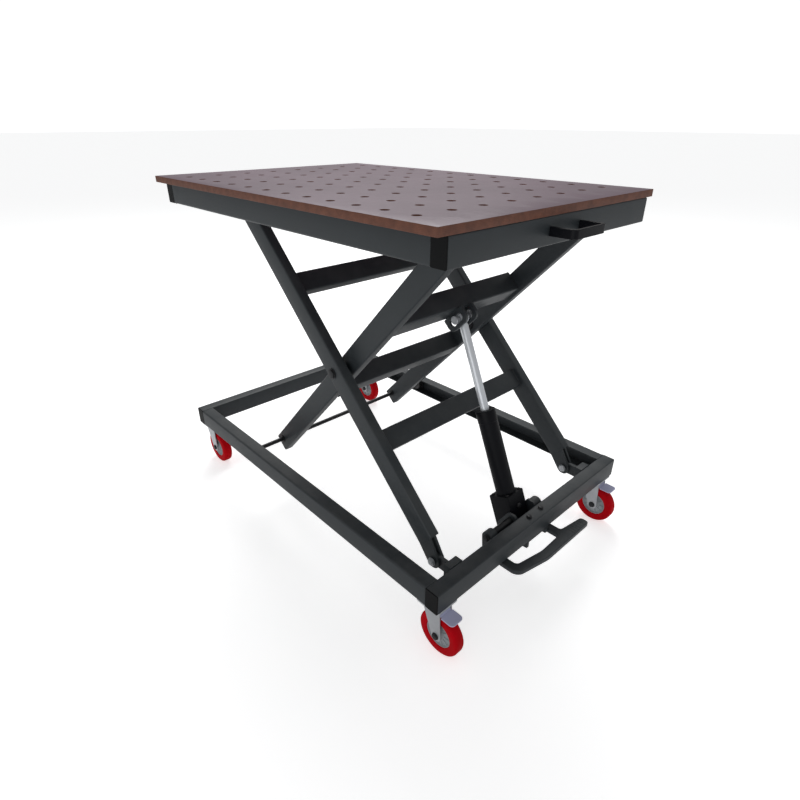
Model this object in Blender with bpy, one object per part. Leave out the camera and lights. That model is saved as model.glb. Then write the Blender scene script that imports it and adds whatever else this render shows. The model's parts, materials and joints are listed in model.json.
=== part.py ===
"""Scissor lift table: perforated board on a welded frame, raised by one scissor and a foot-pumped cylinder.

X runs along the table towards the pedal end, Y across it, Z up from the floor. The pose is the raised one.
"""
import bmesh
import bpy
import math
from mathutils import Matrix, Vector

# ---- overall -------------------------------------------------------------
MID_X = 0.0562                # board centre is this far behind the middle of the whole outline
GAP = 0.0003                  # between pieces that touch
LIFT_H = 0.7895               # between the lower and the upper pivot lines in this pose
ARM_L = 1.100                 # pin to pin
THETA = math.asin(LIFT_H / ARM_L)

# ---- board ---------------------------------------------------------------
BOARD_L = 1.200
BOARD_W = 0.800
BOARD_T = 0.018
HOLE_D = 0.020
HOLES_X = 12
HOLES_Y = 8
PITCH_X = 0.089
PITCH_Y = 0.097

# ---- tube and channel ----------------------------------------------------
SEC_H = 0.060
SEC_W = 0.040
WALL = 0.003
CHAN_T = 0.004

# ---- base frame ----------------------------------------------------------
BASE_Z0 = 0.160
BASE_Z1 = BASE_Z0 + SEC_H
BASE_X0 = -0.5926
BASE_X1 = 0.6490
BASE_Y = 0.412

# ---- top frame -----------------------------------------------------------
TOP_Y = 0.375
TOP_X0 = -0.587
TOP_X1 = 0.600
PIVOT_Z = BASE_Z0 + SEC_H / 2
TOP_PIVOT_Z = PIVOT_Z + LIFT_H
TOP_Z0 = TOP_PIVOT_Z - SEC_H / 2
TOP_Z1 = TOP_Z0 + SEC_H
PIVOT_X = 0.540
SLIDE_X = PIVOT_X - ARM_L * math.cos(THETA)

# ---- scissor arms --------------------------------------------------------
ARM_D = 0.060
OUT_Y0, OUT_Y1 = 0.287, 0.317
IN_Y0, IN_Y1 = 0.243, 0.273
OUT_N = (0.018, -0.001)       # tube line above the pin line, at the fixed and the rolling end
IN_N = (0.010, -0.006)
ROLLER_R = 0.025
PIN_R = 0.008
CENTRE_R = 0.010
LOW_AXLE_R = 0.007

# ---- cylinder ------------------------------------------------------------
CYL_X, CYL_Z = 0.566, 0.1475
ROD_S, ROD_N = 0.2072, -0.0358   # rod pin from the centre pivot, along and above the inner arms
BLOCK_W = 0.070
BLOCK_TOP = 0.098
TUBE_R = 0.028
TUBE_TOP = 0.348
ROD_R = 0.012
ROD_LEN = 0.308

# ---- pedal and casters ---------------------------------------------------
PEDAL_X, PEDAL_Z = 0.585, 0.1955
WHEEL_R = 0.0625
TRAIL = 0.020
CASTER_Y = 0.372
BRAKE_Z = 0.1315
CASTER_X = (BASE_X1 - 0.037, BASE_X0 + 0.037)

for old in list(bpy.data.objects):
    bpy.data.objects.remove(old, do_unlink=True)

COLOURS = {
    "steel": (0.045, 0.055, 0.055), "black": (0.012, 0.013, 0.015), "board": (0.20, 0.11, 0.10),
    "chrome": (0.62, 0.65, 0.70), "zinc": (0.50, 0.51, 0.53), "tyre": (0.45, 0.0, 0.01),
}


def material(name, kind):
    mat = bpy.data.materials.new("m_" + name)
    mat.use_nodes = True
    bsdf = mat.node_tree.nodes["Principled BSDF"]
    bsdf.inputs["Base Color"].default_value = (*COLOURS[kind], 1.0)
    bsdf.inputs["Metallic"].default_value = 1.0 if kind in ("chrome", "zinc") else 0.0
    bsdf.inputs["Roughness"].default_value = 0.35 if kind in ("chrome", "zinc") else 0.55
    return mat


# ---- solids, each returned as a bmesh in world coordinates ---------------
def prism(points, direction):
    """Closed prism: a flat polygon swept along a vector."""
    bm = bmesh.new()
    face = bm.faces.new([bm.verts.new(p) for p in points])
    out = bmesh.ops.extrude_face_region(bm, geom=[face])
    moved = [v for v in out["geom"] if isinstance(v, bmesh.types.BMVert)]
    bmesh.ops.translate(bm, verts=moved, vec=Vector(direction))
    bmesh.ops.recalc_face_normals(bm, faces=bm.faces)
    return bm


def ring_prism(outer, inner, direction):
    """Closed tube: two matching loops swept along a vector."""
    bm = bmesh.new()
    d = Vector(direction)
    loops = []
    for pts in (outer, inner):
        for shift in (Vector(), d):
            loops.append([bm.verts.new(Vector(p) + shift) for p in pts])
    count = len(outer)
    pairs = ((0, 1), (1, 3), (3, 2), (2, 0))
    for a, b in pairs:
        for i in range(count):
            j = (i + 1) % count
            bm.faces.new((loops[a][i], loops[a][j], loops[b][j], loops[b][i]))
    bmesh.ops.recalc_face_normals(bm, faces=bm.faces)
    return bm


def box(x0, x1, y0, y1, z0, z1):
    return prism([(x0, y0, z0), (x1, y0, z0), (x1, y1, z0), (x0, y1, z0)], (0, 0, z1 - z0))


def lathe(profile, centre, axis, segments):
    """Closed ring: a closed (radius, along) outline turned about an axis."""
    bm = bmesh.new()
    turn = Vector((0, 0, 1)).rotation_difference(Vector(axis)).to_matrix().to_4x4()
    rows = []
    for k in range(segments):
        a = 2 * math.pi * k / segments
        rows.append([bm.verts.new((r * math.cos(a), r * math.sin(a), h)) for r, h in profile])
    count = len(profile)
    for k in range(segments):
        nxt = rows[(k + 1) % segments]
        for i in range(count):
            j = (i + 1) % count
            bm.faces.new((rows[k][i], nxt[i], nxt[j], rows[k][j]))
    bmesh.ops.recalc_face_normals(bm, faces=bm.faces)
    bm.transform(Matrix.Translation(Vector(centre)) @ turn)
    return bm


def rod(profile, centre, axis, segments):
    """Solid of revolution: (radius, along) steps from one end to the other."""
    bm = bmesh.new()
    turn = Vector((0, 0, 1)).rotation_difference(Vector(axis)).to_matrix().to_4x4()
    rows = []
    for r, h in profile:
        ring = []
        for k in range(segments):
            a = 2 * math.pi * k / segments
            ring.append(bm.verts.new((r * math.cos(a), r * math.sin(a), h)))
        rows.append(ring)
    for low, high in zip(rows, rows[1:]):
        for k in range(segments):
            j = (k + 1) % segments
            bm.faces.new((low[k], low[j], high[j], high[k]))
    bm.faces.new(rows[0])
    bm.faces.new(rows[-1])
    bmesh.ops.recalc_face_normals(bm, faces=bm.faces)
    bm.transform(Matrix.Translation(Vector(centre)) @ turn)
    return bm


def y_rod(x, z, y0, y1, radius, segments=20):
    return rod([(radius, 0), (radius, y1 - y0)], (x, y0, z), (0, 1, 0), segments)


def y_plate(points, y0, y1):
    return prism([(x, y0, z) for x, z in points], (0, y1 - y0, 0))


def arc(cx, cz, radius, start, end, steps):
    """Points on an arc in the XZ plane, angles in degrees."""
    out = []
    for k in range(steps + 1):
        a = math.radians(start + (end - start) * k / steps)
        out.append((cx + radius * math.cos(a), cz + radius * math.sin(a)))
    return out


def flip_y(bm):
    bm.transform(Matrix.Scale(-1, 4, Vector((0, 1, 0))))
    bmesh.ops.reverse_faces(bm, faces=bm.faces)
    return bm


def to_object(name, bm):
    mesh = bpy.data.meshes.new(name)
    bm.to_mesh(mesh)
    bm.free()
    obj = bpy.data.objects.new(name, mesh)
    bpy.context.scene.collection.objects.link(obj)
    return obj


def node(name, kind, body, add=(), cut=(), origin=(0, 0, 0), smooth=False):
    """One finished piece, with its origin on its own pivot."""
    obj = to_object(name, body)
    tools = []
    for operation, solids in (("UNION", add), ("DIFFERENCE", cut)):
        for i, bm in enumerate(solids):
            tool = to_object(name + "_tool", bm)
            mod = obj.modifiers.new("b", "BOOLEAN")
            mod.operation = operation
            mod.solver = "EXACT"
            mod.object = tool
            tools.append(tool)
    if tools:
        bpy.context.view_layer.update()
        shaped = bpy.data.meshes.new_from_object(obj.evaluated_get(bpy.context.evaluated_depsgraph_get()))
        obj.modifiers.clear()
        obj.data = shaped
        for tool in tools:
            bpy.data.objects.remove(tool, do_unlink=True)
    bm = bmesh.new()
    bm.from_mesh(obj.data)
    bmesh.ops.remove_doubles(bm, verts=bm.verts, dist=0.00002)
    bmesh.ops.dissolve_limit(bm, angle_limit=0.002, verts=bm.verts, edges=bm.edges)
    bmesh.ops.triangulate(bm, faces=bm.faces)
    place = Vector(origin) - Vector((MID_X, 0, 0))
    bmesh.ops.translate(bm, verts=bm.verts, vec=-Vector(origin))
    bm.to_mesh(obj.data)
    bm.free()
    obj.location = place
    obj.data.name = name
    obj.data.materials.clear()
    obj.data.materials.append(material(name, kind))
    if smooth:
        obj.data.shade_smooth()
        obj.data.set_sharp_from_angle(angle=math.radians(35))
    return obj


def sides(maker):
    """The same piece on the near side (-Y) and mirrored on the far side."""
    maker("near", flip_y)
    maker("far", lambda bm: bm)


# ---- base frame ----------------------------------------------------------
def channel(x0, x1, y_open, y_web, z0, z1):
    t = CHAN_T
    pts = [(y_open, z0), (y_web, z0), (y_web, z1), (y_open, z1)]
    pts += [(y_open, z1 - t), (y_web - t, z1 - t), (y_web - t, z0 + t), (y_open, z0 + t)]
    return prism([(x0, y, z) for y, z in pts], (x1 - x0, 0, 0))


def cross_tube(x0, x1, half, z0, z1):
    t = WALL
    outer = [(x0, -half, z0), (x1, -half, z0), (x1, -half, z1), (x0, -half, z1)]
    inner = [(x0 + t, -half, z0 + t), (x1 - t, -half, z0 + t), (x1 - t, -half, z1 - t), (x0 + t, -half, z1 - t)]
    return ring_prism(outer, inner, (0, 2 * half, 0))


def end_plug(x0, x1, half, z0, z1):
    cap = box(x0, x1, half + GAP, half + 0.003, z0, z1)
    t = WALL + GAP
    stem = box(x0 + t, x1 - t, half - 0.018, half + 0.001, z0 + t, z1 - t)
    return cap, stem


BASE_TUBE = BASE_Y - 0.003
TOP_TUBE = TOP_Y - 0.003
BASE_IN0 = BASE_X0 + SEC_W
BASE_IN1 = BASE_X1 - SEC_W
TOP_IN0 = TOP_X0 + SEC_W
TOP_IN1 = TOP_X1 - SEC_W


def base_rail(side, put):
    body = channel(BASE_IN0 + GAP, BASE_IN1 - GAP, BASE_Y - SEC_W, BASE_Y, BASE_Z0, BASE_Z1)
    node("base_rail_" + side, "steel", put(body))


sides(base_rail)
for label, xa, xb in (("front", BASE_IN1, BASE_X1), ("rear", BASE_X0, BASE_IN0)):
    node("base_crossbar_" + label, "steel", cross_tube(xa, xb, BASE_TUBE, BASE_Z0, BASE_Z1))

    def base_plug(side, put, xa=xa, xb=xb, label=label):
        cap, stem = end_plug(xa, xb, BASE_TUBE, BASE_Z0, BASE_Z1)
        node("base_plug_" + label + "_" + side, "black", put(cap), add=[put(stem)])

    sides(base_plug)

LUG_Y0, LUG_Y1 = 0.297, 0.307


def base_lug(side, put):
    """Welded lug with the fixed pivot stud of one outer arm."""
    block = box(0.587, BASE_IN1 - GAP, 0.280, 0.324, 0.166, BASE_Z1)
    end = arc(PIVOT_X, PIVOT_Z, 0.018, 90, 270, 8)
    tongue = y_plate([(0.590, PIVOT_Z + 0.018)] + end + [(0.590, PIVOT_Z - 0.018)], LUG_Y0, LUG_Y1)
    stud = y_rod(PIVOT_X, PIVOT_Z, 0.2864, 0.3176, PIN_R - GAP)
    heads = [y_rod(PIVOT_X, PIVOT_Z, 0.2820, 0.2866, 0.013), y_rod(PIVOT_X, PIVOT_Z, 0.3174, 0.3220, 0.013)]
    node("base_lug_" + side, "steel", put(block), add=[put(b) for b in [tongue, stud] + heads])


sides(base_lug)


# ---- top frame -----------------------------------------------------------
def top_rail(side, put):
    """Roller channel with the welded stud that the inner arm turns on."""
    body = channel(TOP_IN0 + GAP, TOP_IN1 - GAP, TOP_Y - SEC_W, TOP_Y, TOP_Z0, TOP_Z1)
    stud = y_rod(PIVOT_X, TOP_PIVOT_Z, 0.2424, TOP_Y - 0.002, PIN_R - GAP)
    head = y_rod(PIVOT_X, TOP_PIVOT_Z, 0.2380, 0.2426, 0.013)
    collar = y_rod(PIVOT_X, TOP_PIVOT_Z, 0.2735, 0.2800, 0.013)
    node("top_rail_" + side, "steel", put(body), add=[put(stud), put(head), put(collar)])


sides(top_rail)
for label, xa, xb in (("front", TOP_IN1, TOP_X1), ("rear", TOP_X0, TOP_IN0)):
    node("top_beam_" + label, "steel", cross_tube(xa, xb, TOP_TUBE, TOP_Z0, TOP_Z1))

    def top_plug(side, put, xa=xa, xb=xb, label=label):
        cap, stem = end_plug(xa, xb, TOP_TUBE, TOP_Z0, TOP_Z1)
        node("top_plug_" + label + "_" + side, "black", put(cap), add=[put(stem)])

    sides(top_plug)


def perforated_board():
    """Board as a grid of cells, each with an eight-sided dog hole."""
    bm = bmesh.new()
    half_x, half_y = BOARD_L / 2, BOARD_W / 2
    xs = [(i - (HOLES_X - 1) / 2) * PITCH_X for i in range(HOLES_X)]
    ys = [(j - (HOLES_Y - 1) / 2) * PITCH_Y for j in range(HOLES_Y)]
    ex = [-half_x] + [(a + b) / 2 for a, b in zip(xs, xs[1:])] + [half_x]
    ey = [-half_y] + [(a + b) / 2 for a, b in zip(ys, ys[1:])] + [half_y]
    radius = HOLE_D / 2
    for i, cx in enumerate(xs):
        for j, cy in enumerate(ys):
            frame = [(ex[i + 1], cy), (ex[i + 1], ey[j + 1]), (cx, ey[j + 1]), (ex[i], ey[j + 1])]
            frame += [(ex[i], cy), (ex[i], ey[j]), (cx, ey[j]), (ex[i + 1], ey[j])]
            ring = []
            for k in range(8):
                a = math.pi * k / 4
                ring.append((cx + radius * math.cos(a), cy + radius * math.sin(a)))
            for z in (0.0, BOARD_T):
                out = [bm.verts.new((x, y, z)) for x, y in frame]
                inn = [bm.verts.new((x, y, z)) for x, y in ring]
                for k in range(8):
                    m = (k + 1) % 8
                    bm.faces.new((out[k], out[m], inn[m], inn[k]))
    bmesh.ops.remove_doubles(bm, verts=bm.verts, dist=0.00001)
    low = [e for e in bm.edges if e.is_boundary and e.verts[0].co.z < BOARD_T / 2]
    high = [e for e in bm.edges if e.is_boundary and e.verts[0].co.z > BOARD_T / 2]
    by_place = {}
    for e in high:
        mid = (e.verts[0].co + e.verts[1].co) / 2
        by_place[(round(mid.x, 5), round(mid.y, 5))] = e
    for e in low:
        mid = (e.verts[0].co + e.verts[1].co) / 2
        other = by_place[(round(mid.x, 5), round(mid.y, 5))]
        a, b = e.verts
        c, d = other.verts
        if (c.co.xy - b.co.xy).length > 0.0001:
            c, d = d, c
        bm.faces.new((a, b, c, d))
    bmesh.ops.recalc_face_normals(bm, faces=bm.faces)
    bm.transform(Matrix.Translation((0, 0, TOP_Z1 + GAP)))
    return bm


node("board", "board", perforated_board())

HANDLE_Z = TOP_Z1 - 0.0300
HANDLE_OUT = 0.062
HANDLE_HALF = 0.062
HANDLE_T = 0.008


def handle():
    """Flat-bar pull, bent to a U and fixed to the front beam."""
    x0 = TOP_X1 + GAP
    x1 = TOP_X1 + HANDLE_OUT
    h, t = HANDLE_HALF, HANDLE_T
    outer = [(x0, -h), (x1 - 0.008, -h), (x1, -h + 0.008), (x1, h - 0.008), (x1 - 0.008, h), (x0, h)]
    inner = [(x0, h - t), (x1 - t - 0.003, h - t), (x1 - t, h - t - 0.003)]
    inner += [(x1 - t, -h + t + 0.003), (x1 - t - 0.003, -h + t), (x0, -h + t)]
    node("handle", "black", prism([(x, y, HANDLE_Z - 0.010) for x, y in outer + inner], (0, 0, 0.020)))


handle()

# ---- scissor -------------------------------------------------------------
CT, ST = math.cos(THETA), math.sin(THETA)


def out_at(s, n):
    """Point on an outer arm: along it from the fixed lower pin, and above the pin line."""
    return (PIVOT_X - s * CT + n * ST, PIVOT_Z + s * ST + n * CT)


def in_at(s, n):
    """Point on an inner arm: along it from the lower roller, and above the pin line."""
    return (SLIDE_X + s * CT - n * ST, PIVOT_Z + s * ST + n * CT)


def arm_tube(at, line, s0, s1, y0, y1):
    """Rectangular tube whose middle runs straight between the two offsets of its line."""
    def mid(s):
        return line[0] + (line[1] - line[0]) * s / ARM_L
    half, t = ARM_D / 2, WALL
    outer, inner = [], []
    for n, y in ((-half, y0), (half, y0), (half, y1), (-half, y1)):
        x, z = at(s0, mid(s0) + n)
        outer.append((x, y, z))
    for n, y in ((t - half, y0 + t), (half - t, y0 + t), (half - t, y1 - t), (t - half, y1 - t)):
        x, z = at(s0, mid(s0) + n)
        inner.append((x, y, z))
    xa, za = at(s0, mid(s0))
    xb, zb = at(s1, mid(s1))
    return ring_prism(outer, inner, (xb - xa, 0, zb - za))


def tongue_plate(at, s_pin, s_root, half_root, mid_root, radius, y0, y1):
    """End plate: wide inside the tube, round about its pin."""
    sign = 1 if s_root > s_pin else -1
    pts = [at(s_root, mid_root - half_root)]
    for k in range(9):
        a = math.radians(-90 + 180 * k / 8)
        pts.append(at(s_pin - sign * radius * math.cos(a), radius * math.sin(a)))
    pts.append(at(s_root, mid_root + half_root))
    return y_plate(pts, y0, y1)


def y_hole(at, s, radius, y0=0.2, y1=0.35):
    x, z = at(s, 0)
    return y_rod(x, z, y0, y1, radius)


HALF_L = ARM_L / 2


def outer_arm(side, put):
    tube = arm_tube(out_at, OUT_N, 0.055, ARM_L - 0.030, OUT_Y0, OUT_Y1)
    plates = []
    for y0, y1 in ((OUT_Y0 + 0.0015, OUT_Y0 + 0.009), (OUT_Y1 - 0.009, OUT_Y1 - 0.0015)):
        plates.append(tongue_plate(out_at, 0.0, 0.090, 0.0285, OUT_N[0], 0.021, y0, y1))
        plates.append(tongue_plate(out_at, ARM_L, ARM_L - 0.060, 0.0285, OUT_N[1], 0.023, y0, y1))
    holes = [y_hole(out_at, 0, PIN_R), y_hole(out_at, HALF_L, CENTRE_R), y_hole(out_at, ARM_L, PIN_R)]
    node("outer_arm_" + side, "steel", put(tube), add=[put(p) for p in plates], cut=[put(h) for h in holes],
         origin=(PIVOT_X, 0, PIVOT_Z))


def inner_arm(side, put):
    line = (IN_N[1], IN_N[0])
    tube = arm_tube(in_at, line, -0.026, ARM_L - 0.045, IN_Y0, IN_Y1)
    plates = []
    for y0, y1 in ((IN_Y0 + 0.0015, IN_Y0 + 0.009), (IN_Y1 - 0.009, IN_Y1 - 0.0015)):
        plates.append(tongue_plate(in_at, ARM_L, ARM_L - 0.080, 0.0285, IN_N[0], 0.018, y0, y1))
    holes = [y_hole(in_at, 0, LOW_AXLE_R + GAP), y_hole(in_at, HALF_L, CENTRE_R), y_hole(in_at, ARM_L, PIN_R)]
    node("inner_arm_" + side, "steel", put(tube), add=[put(p) for p in plates], cut=[put(h) for h in holes],
         origin=(*in_at(HALF_L, 0)[:1], 0, in_at(HALF_L, 0)[1]))


sides(outer_arm)
sides(inner_arm)
CENTRE_X, CENTRE_Z = in_at(HALF_L, 0)


def arm_beam(name, at, s0, s1, n0, n1, half, origin):
    """Rectangular tube across a pair of arms."""
    t = WALL
    outer, inner = [], []
    for s, n in ((s0, n0), (s1, n0), (s1, n1), (s0, n1)):
        x, z = at(s, n)
        outer.append((x, -half, z))
    for s, n in ((s0 + t, n0 + t), (s1 - t, n0 + t), (s1 - t, n1 - t), (s0 + t, n1 - t)):
        x, z = at(s, n)
        inner.append((x, -half, z))
    node(name, "steel", ring_prism(outer, inner, (0, 2 * half, 0)), origin=origin)


LOW_PIVOT = (PIVOT_X, 0, PIVOT_Z)
CENTRE = (CENTRE_X, 0, CENTRE_Z)
TOP_PIVOT = (PIVOT_X, 0, TOP_PIVOT_Z)
arm_beam("outer_beam_low", out_at, 0.296, 0.356, -0.005, 0.025, OUT_Y0 - GAP, LOW_PIVOT)
arm_beam("outer_beam_high", out_at, 0.790, 0.850, -0.013, 0.017, OUT_Y0 - GAP, LOW_PIVOT)
arm_beam("inner_beam_high", in_at, HALF_L + 0.177, HALF_L + 0.237, -0.016, 0.044, IN_Y0 - GAP, CENTRE)
arm_beam("inner_beam_low", in_at, HALF_L - 0.150, HALF_L - 0.090, -0.030, 0.030, IN_Y0 - GAP, CENTRE)


def centre_pin(side, put):
    pin = rod([(0.016, 0.2360), (0.016, IN_Y0 - GAP), (CENTRE_R - GAP, IN_Y0 - GAP), (CENTRE_R - GAP, IN_Y1 + GAP),
               (0.016, IN_Y1 + GAP), (0.016, OUT_Y0 - GAP), (CENTRE_R - GAP, OUT_Y0 - GAP),
               (CENTRE_R - GAP, OUT_Y1 + GAP), (0.016, OUT_Y1 + GAP), (0.016, 0.3235)],
              (CENTRE_X, 0, CENTRE_Z), (0, 1, 0), 20)
    node("centre_pin_" + side, "zinc", put(pin), origin=CENTRE, smooth=True)


sides(centre_pin)
TOP_SLIDE = (SLIDE_X, 0, TOP_PIVOT_Z)
LOW_SLIDE = (SLIDE_X, 0, PIVOT_Z)
node("top_axle", "zinc", y_rod(SLIDE_X, TOP_PIVOT_Z, -0.3690, 0.3690, PIN_R - GAP), origin=TOP_SLIDE, smooth=True)
node("low_axle", "zinc", y_rod(SLIDE_X, PIVOT_Z, -0.4060, 0.4060, LOW_AXLE_R), origin=LOW_SLIDE, smooth=True)


def roller(name, put, bore, y0, y1, centre):
    body = lathe([(bore, y0), (ROLLER_R - 0.002, y0), (ROLLER_R, y0 + 0.002), (ROLLER_R, y1 - 0.002),
                  (ROLLER_R - 0.002, y1), (bore, y1)], centre, (0, 1, 0), 20)
    node(name, "black", put(body), origin=centre, smooth=True)


def rollers(side, put):
    roller("top_roller_" + side, put, PIN_R, TOP_Y - 0.0365, TOP_Y - 0.0085, TOP_SLIDE)
    roller("base_roller_" + side, put, LOW_AXLE_R + GAP, BASE_Y - 0.0365, BASE_Y - 0.0085, LOW_SLIDE)


sides(rollers)

# ---- cylinder ------------------------------------------------------------
ROD_X, ROD_Z = in_at(HALF_L + ROD_S, ROD_N)
CYL_LEN = math.hypot(ROD_X - CYL_X, ROD_Z - CYL_Z)
CU = ((ROD_X - CYL_X) / CYL_LEN, (ROD_Z - CYL_Z) / CYL_LEN)
CYL_AXIS = (CU[0], 0, CU[1])
CYL_PIVOT = (CYL_X, 0, CYL_Z)


def cyl_at(u, v):
    """Point in the cylinder's own plane: along it from its foot pin, and square to it towards the front."""
    return (CYL_X + u * CU[0] + v * CU[1], CYL_Z + u * CU[1] - v * CU[0])


B = BLOCK_W / 2
block_pts = [cyl_at(-0.012, -B), cyl_at(-0.022, -B + 0.010), cyl_at(-0.022, B - 0.010), cyl_at(-0.012, B)]
block_pts += [cyl_at(BLOCK_TOP - 0.006, B), cyl_at(BLOCK_TOP, B - 0.006)]
block_pts += [cyl_at(BLOCK_TOP, 0.006 - B), cyl_at(BLOCK_TOP - 0.006, -B)]
node("pump_block", "black", y_plate(block_pts, -B, B), cut=[y_rod(CYL_X, CYL_Z, -0.05, 0.05, PIN_R)],
     origin=CYL_PIVOT)
node("cylinder_tube", "black", lathe([
    (TUBE_R, BLOCK_TOP + GAP), (TUBE_R, TUBE_TOP - 0.003), (TUBE_R - 0.003, TUBE_TOP), (ROD_R + GAP, TUBE_TOP),
    (ROD_R + GAP, TUBE_TOP - 0.015), (TUBE_R - 0.006, TUBE_TOP - 0.015), (TUBE_R - 0.006, BLOCK_TOP + GAP)],
    CYL_PIVOT, CYL_AXIS, 20), origin=CYL_PIVOT, smooth=True)

PISTON_R = TUBE_R - 0.006 - GAP
rod_body = rod([(PISTON_R, CYL_LEN - ROD_LEN), (PISTON_R, CYL_LEN - ROD_LEN + 0.012),
                (ROD_R, CYL_LEN - ROD_LEN + 0.012), (ROD_R, CYL_LEN - 0.006)], CYL_PIVOT, CYL_AXIS, 20)
node("piston_rod", "chrome", rod_body, add=[y_rod(ROD_X, ROD_Z, -0.013, 0.013, 0.015, 24)],
     cut=[y_rod(ROD_X, ROD_Z, -0.05, 0.05, 0.007 + GAP)], origin=(ROD_X, 0, ROD_Z), smooth=True)
node("rod_pin", "zinc", rod([(0.012, -0.0310), (0.012, -0.0255), (0.007, -0.0255), (0.007, 0.0255),
                             (0.012, 0.0255), (0.012, 0.0310)], (ROD_X, 0, ROD_Z), (0, 1, 0), 16),
     origin=(ROD_X, 0, ROD_Z), smooth=True)


def rod_ear(side, put):
    """Slotted ear under the upper inner beam: the slot is the open pivot's clearance."""
    s = HALF_L + ROD_S
    top = -0.016 - GAP
    pts = [in_at(s - 0.040, top), in_at(s + 0.040, top)]
    for sign in (1, -1):
        for k in range(5):
            a = math.radians(45 * k / 2)
            c = math.cos(a) if sign == 1 else math.sin(a)
            d = math.sin(a) if sign == 1 else math.cos(a)
            pts.append(in_at(s + sign * (0.022 + 0.018 * c), ROD_N - 0.004 - 0.018 * d))
    plate = y_plate(pts, 0.0165, 0.0245)
    slot = []
    for centre, start in ((0.0155, -90), (-0.0155, 90)):
        for k in range(7):
            a = math.radians(start + 180 * k / 6)
            slot.append(in_at(s + centre + 0.0112 * math.cos(a), ROD_N + 0.0112 * math.sin(a)))
    node("rod_ear_" + side, "steel", put(plate), cut=[put(y_plate(slot, 0.01, 0.03))], origin=CENTRE)


sides(rod_ear)

# ---- pump saddle and pedal -----------------------------------------------
EAR_Y0, EAR_Y1 = 0.041, 0.049
ear_pts = [(0.543, 0.128), (0.648, 0.136), (0.648, BASE_Z0 - GAP), (0.6055, BASE_Z0 - GAP), (0.6055, 0.206),
           (0.596, 0.2165), (0.574, 0.2165), (0.543, 0.166)]
far_ear = y_plate(ear_pts, EAR_Y0, EAR_Y1)
near_ear = y_plate(ear_pts, -EAR_Y1, -EAR_Y0)
saddle = box(0.614, 0.648, -0.045, 0.045, BASE_Z0 - 0.0063, BASE_Z0 - GAP)
STUB_R = 0.006
stubs = [y_rod(PEDAL_X, PEDAL_Z, -0.156, -0.045, STUB_R, 16), y_rod(PEDAL_X, PEDAL_Z, 0.045, 0.083, STUB_R, 16)]
stubs += [y_rod(PEDAL_X, PEDAL_Z, -0.124, -0.048, 0.011, 16), y_rod(PEDAL_X, PEDAL_Z, -0.161, -0.155, 0.011, 16)]
stubs += [y_rod(PEDAL_X, PEDAL_Z, 0.0805, 0.085, 0.011, 16)]
node("pump_saddle", "steel", saddle, add=[far_ear, near_ear] + stubs,
     cut=[y_rod(CYL_X, CYL_Z, -0.06, 0.06, PIN_R)])
node("foot_pin", "zinc", rod([(0.012, -0.0515), (0.012, -EAR_Y1 - GAP), (PIN_R - GAP, -EAR_Y1 - GAP),
                              (PIN_R - GAP, EAR_Y1 + GAP), (0.012, EAR_Y1 + GAP), (0.012, 0.0515)],
                             CYL_PIVOT, (0, 1, 0), 16), origin=CYL_PIVOT, smooth=True)

PEDAL_Z0, PEDAL_Z1 = 0.132, 0.146
plan = [(0.573, -0.152), (0.674, -0.152), (0.684, -0.149), (0.6925, -0.141), (0.712, -0.040), (0.712, 0.158)]
plan += [(0.706, 0.166), (0.690, 0.166), (0.684, 0.160), (0.673, 0.079), (0.664, 0.078), (0.573, 0.078)]
plan += [(0.573, 0.052), (0.672, 0.052), (0.683, 0.046), (0.685, -0.034), (0.669, -0.120), (0.662, -0.126)]
plan += [(0.573, -0.126)]
frame_bar = prism([(x, y, PEDAL_Z0) for x, y in plan], (0, 0, PEDAL_Z1 - PEDAL_Z0))
straps = []
bores = []
for y0, y1 in ((-0.152, -0.126), (0.052, 0.078)):
    strap = [(0.567, PEDAL_Z)] + arc(PEDAL_X, PEDAL_Z, 0.018, 180, 0, 8) + [(0.600, 0.150), (0.596, PEDAL_Z0)]
    strap += [(0.573, PEDAL_Z0), (0.567, 0.150)]
    straps.append(y_plate(strap[1:], y0, y1))
    bores.append(y_rod(PEDAL_X, PEDAL_Z, y0 - 0.01, y1 + 0.01, STUB_R + GAP, 16))
node("pedal", "steel", frame_bar, add=straps, cut=bores, origin=(PEDAL_X, 0, PEDAL_Z))


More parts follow.
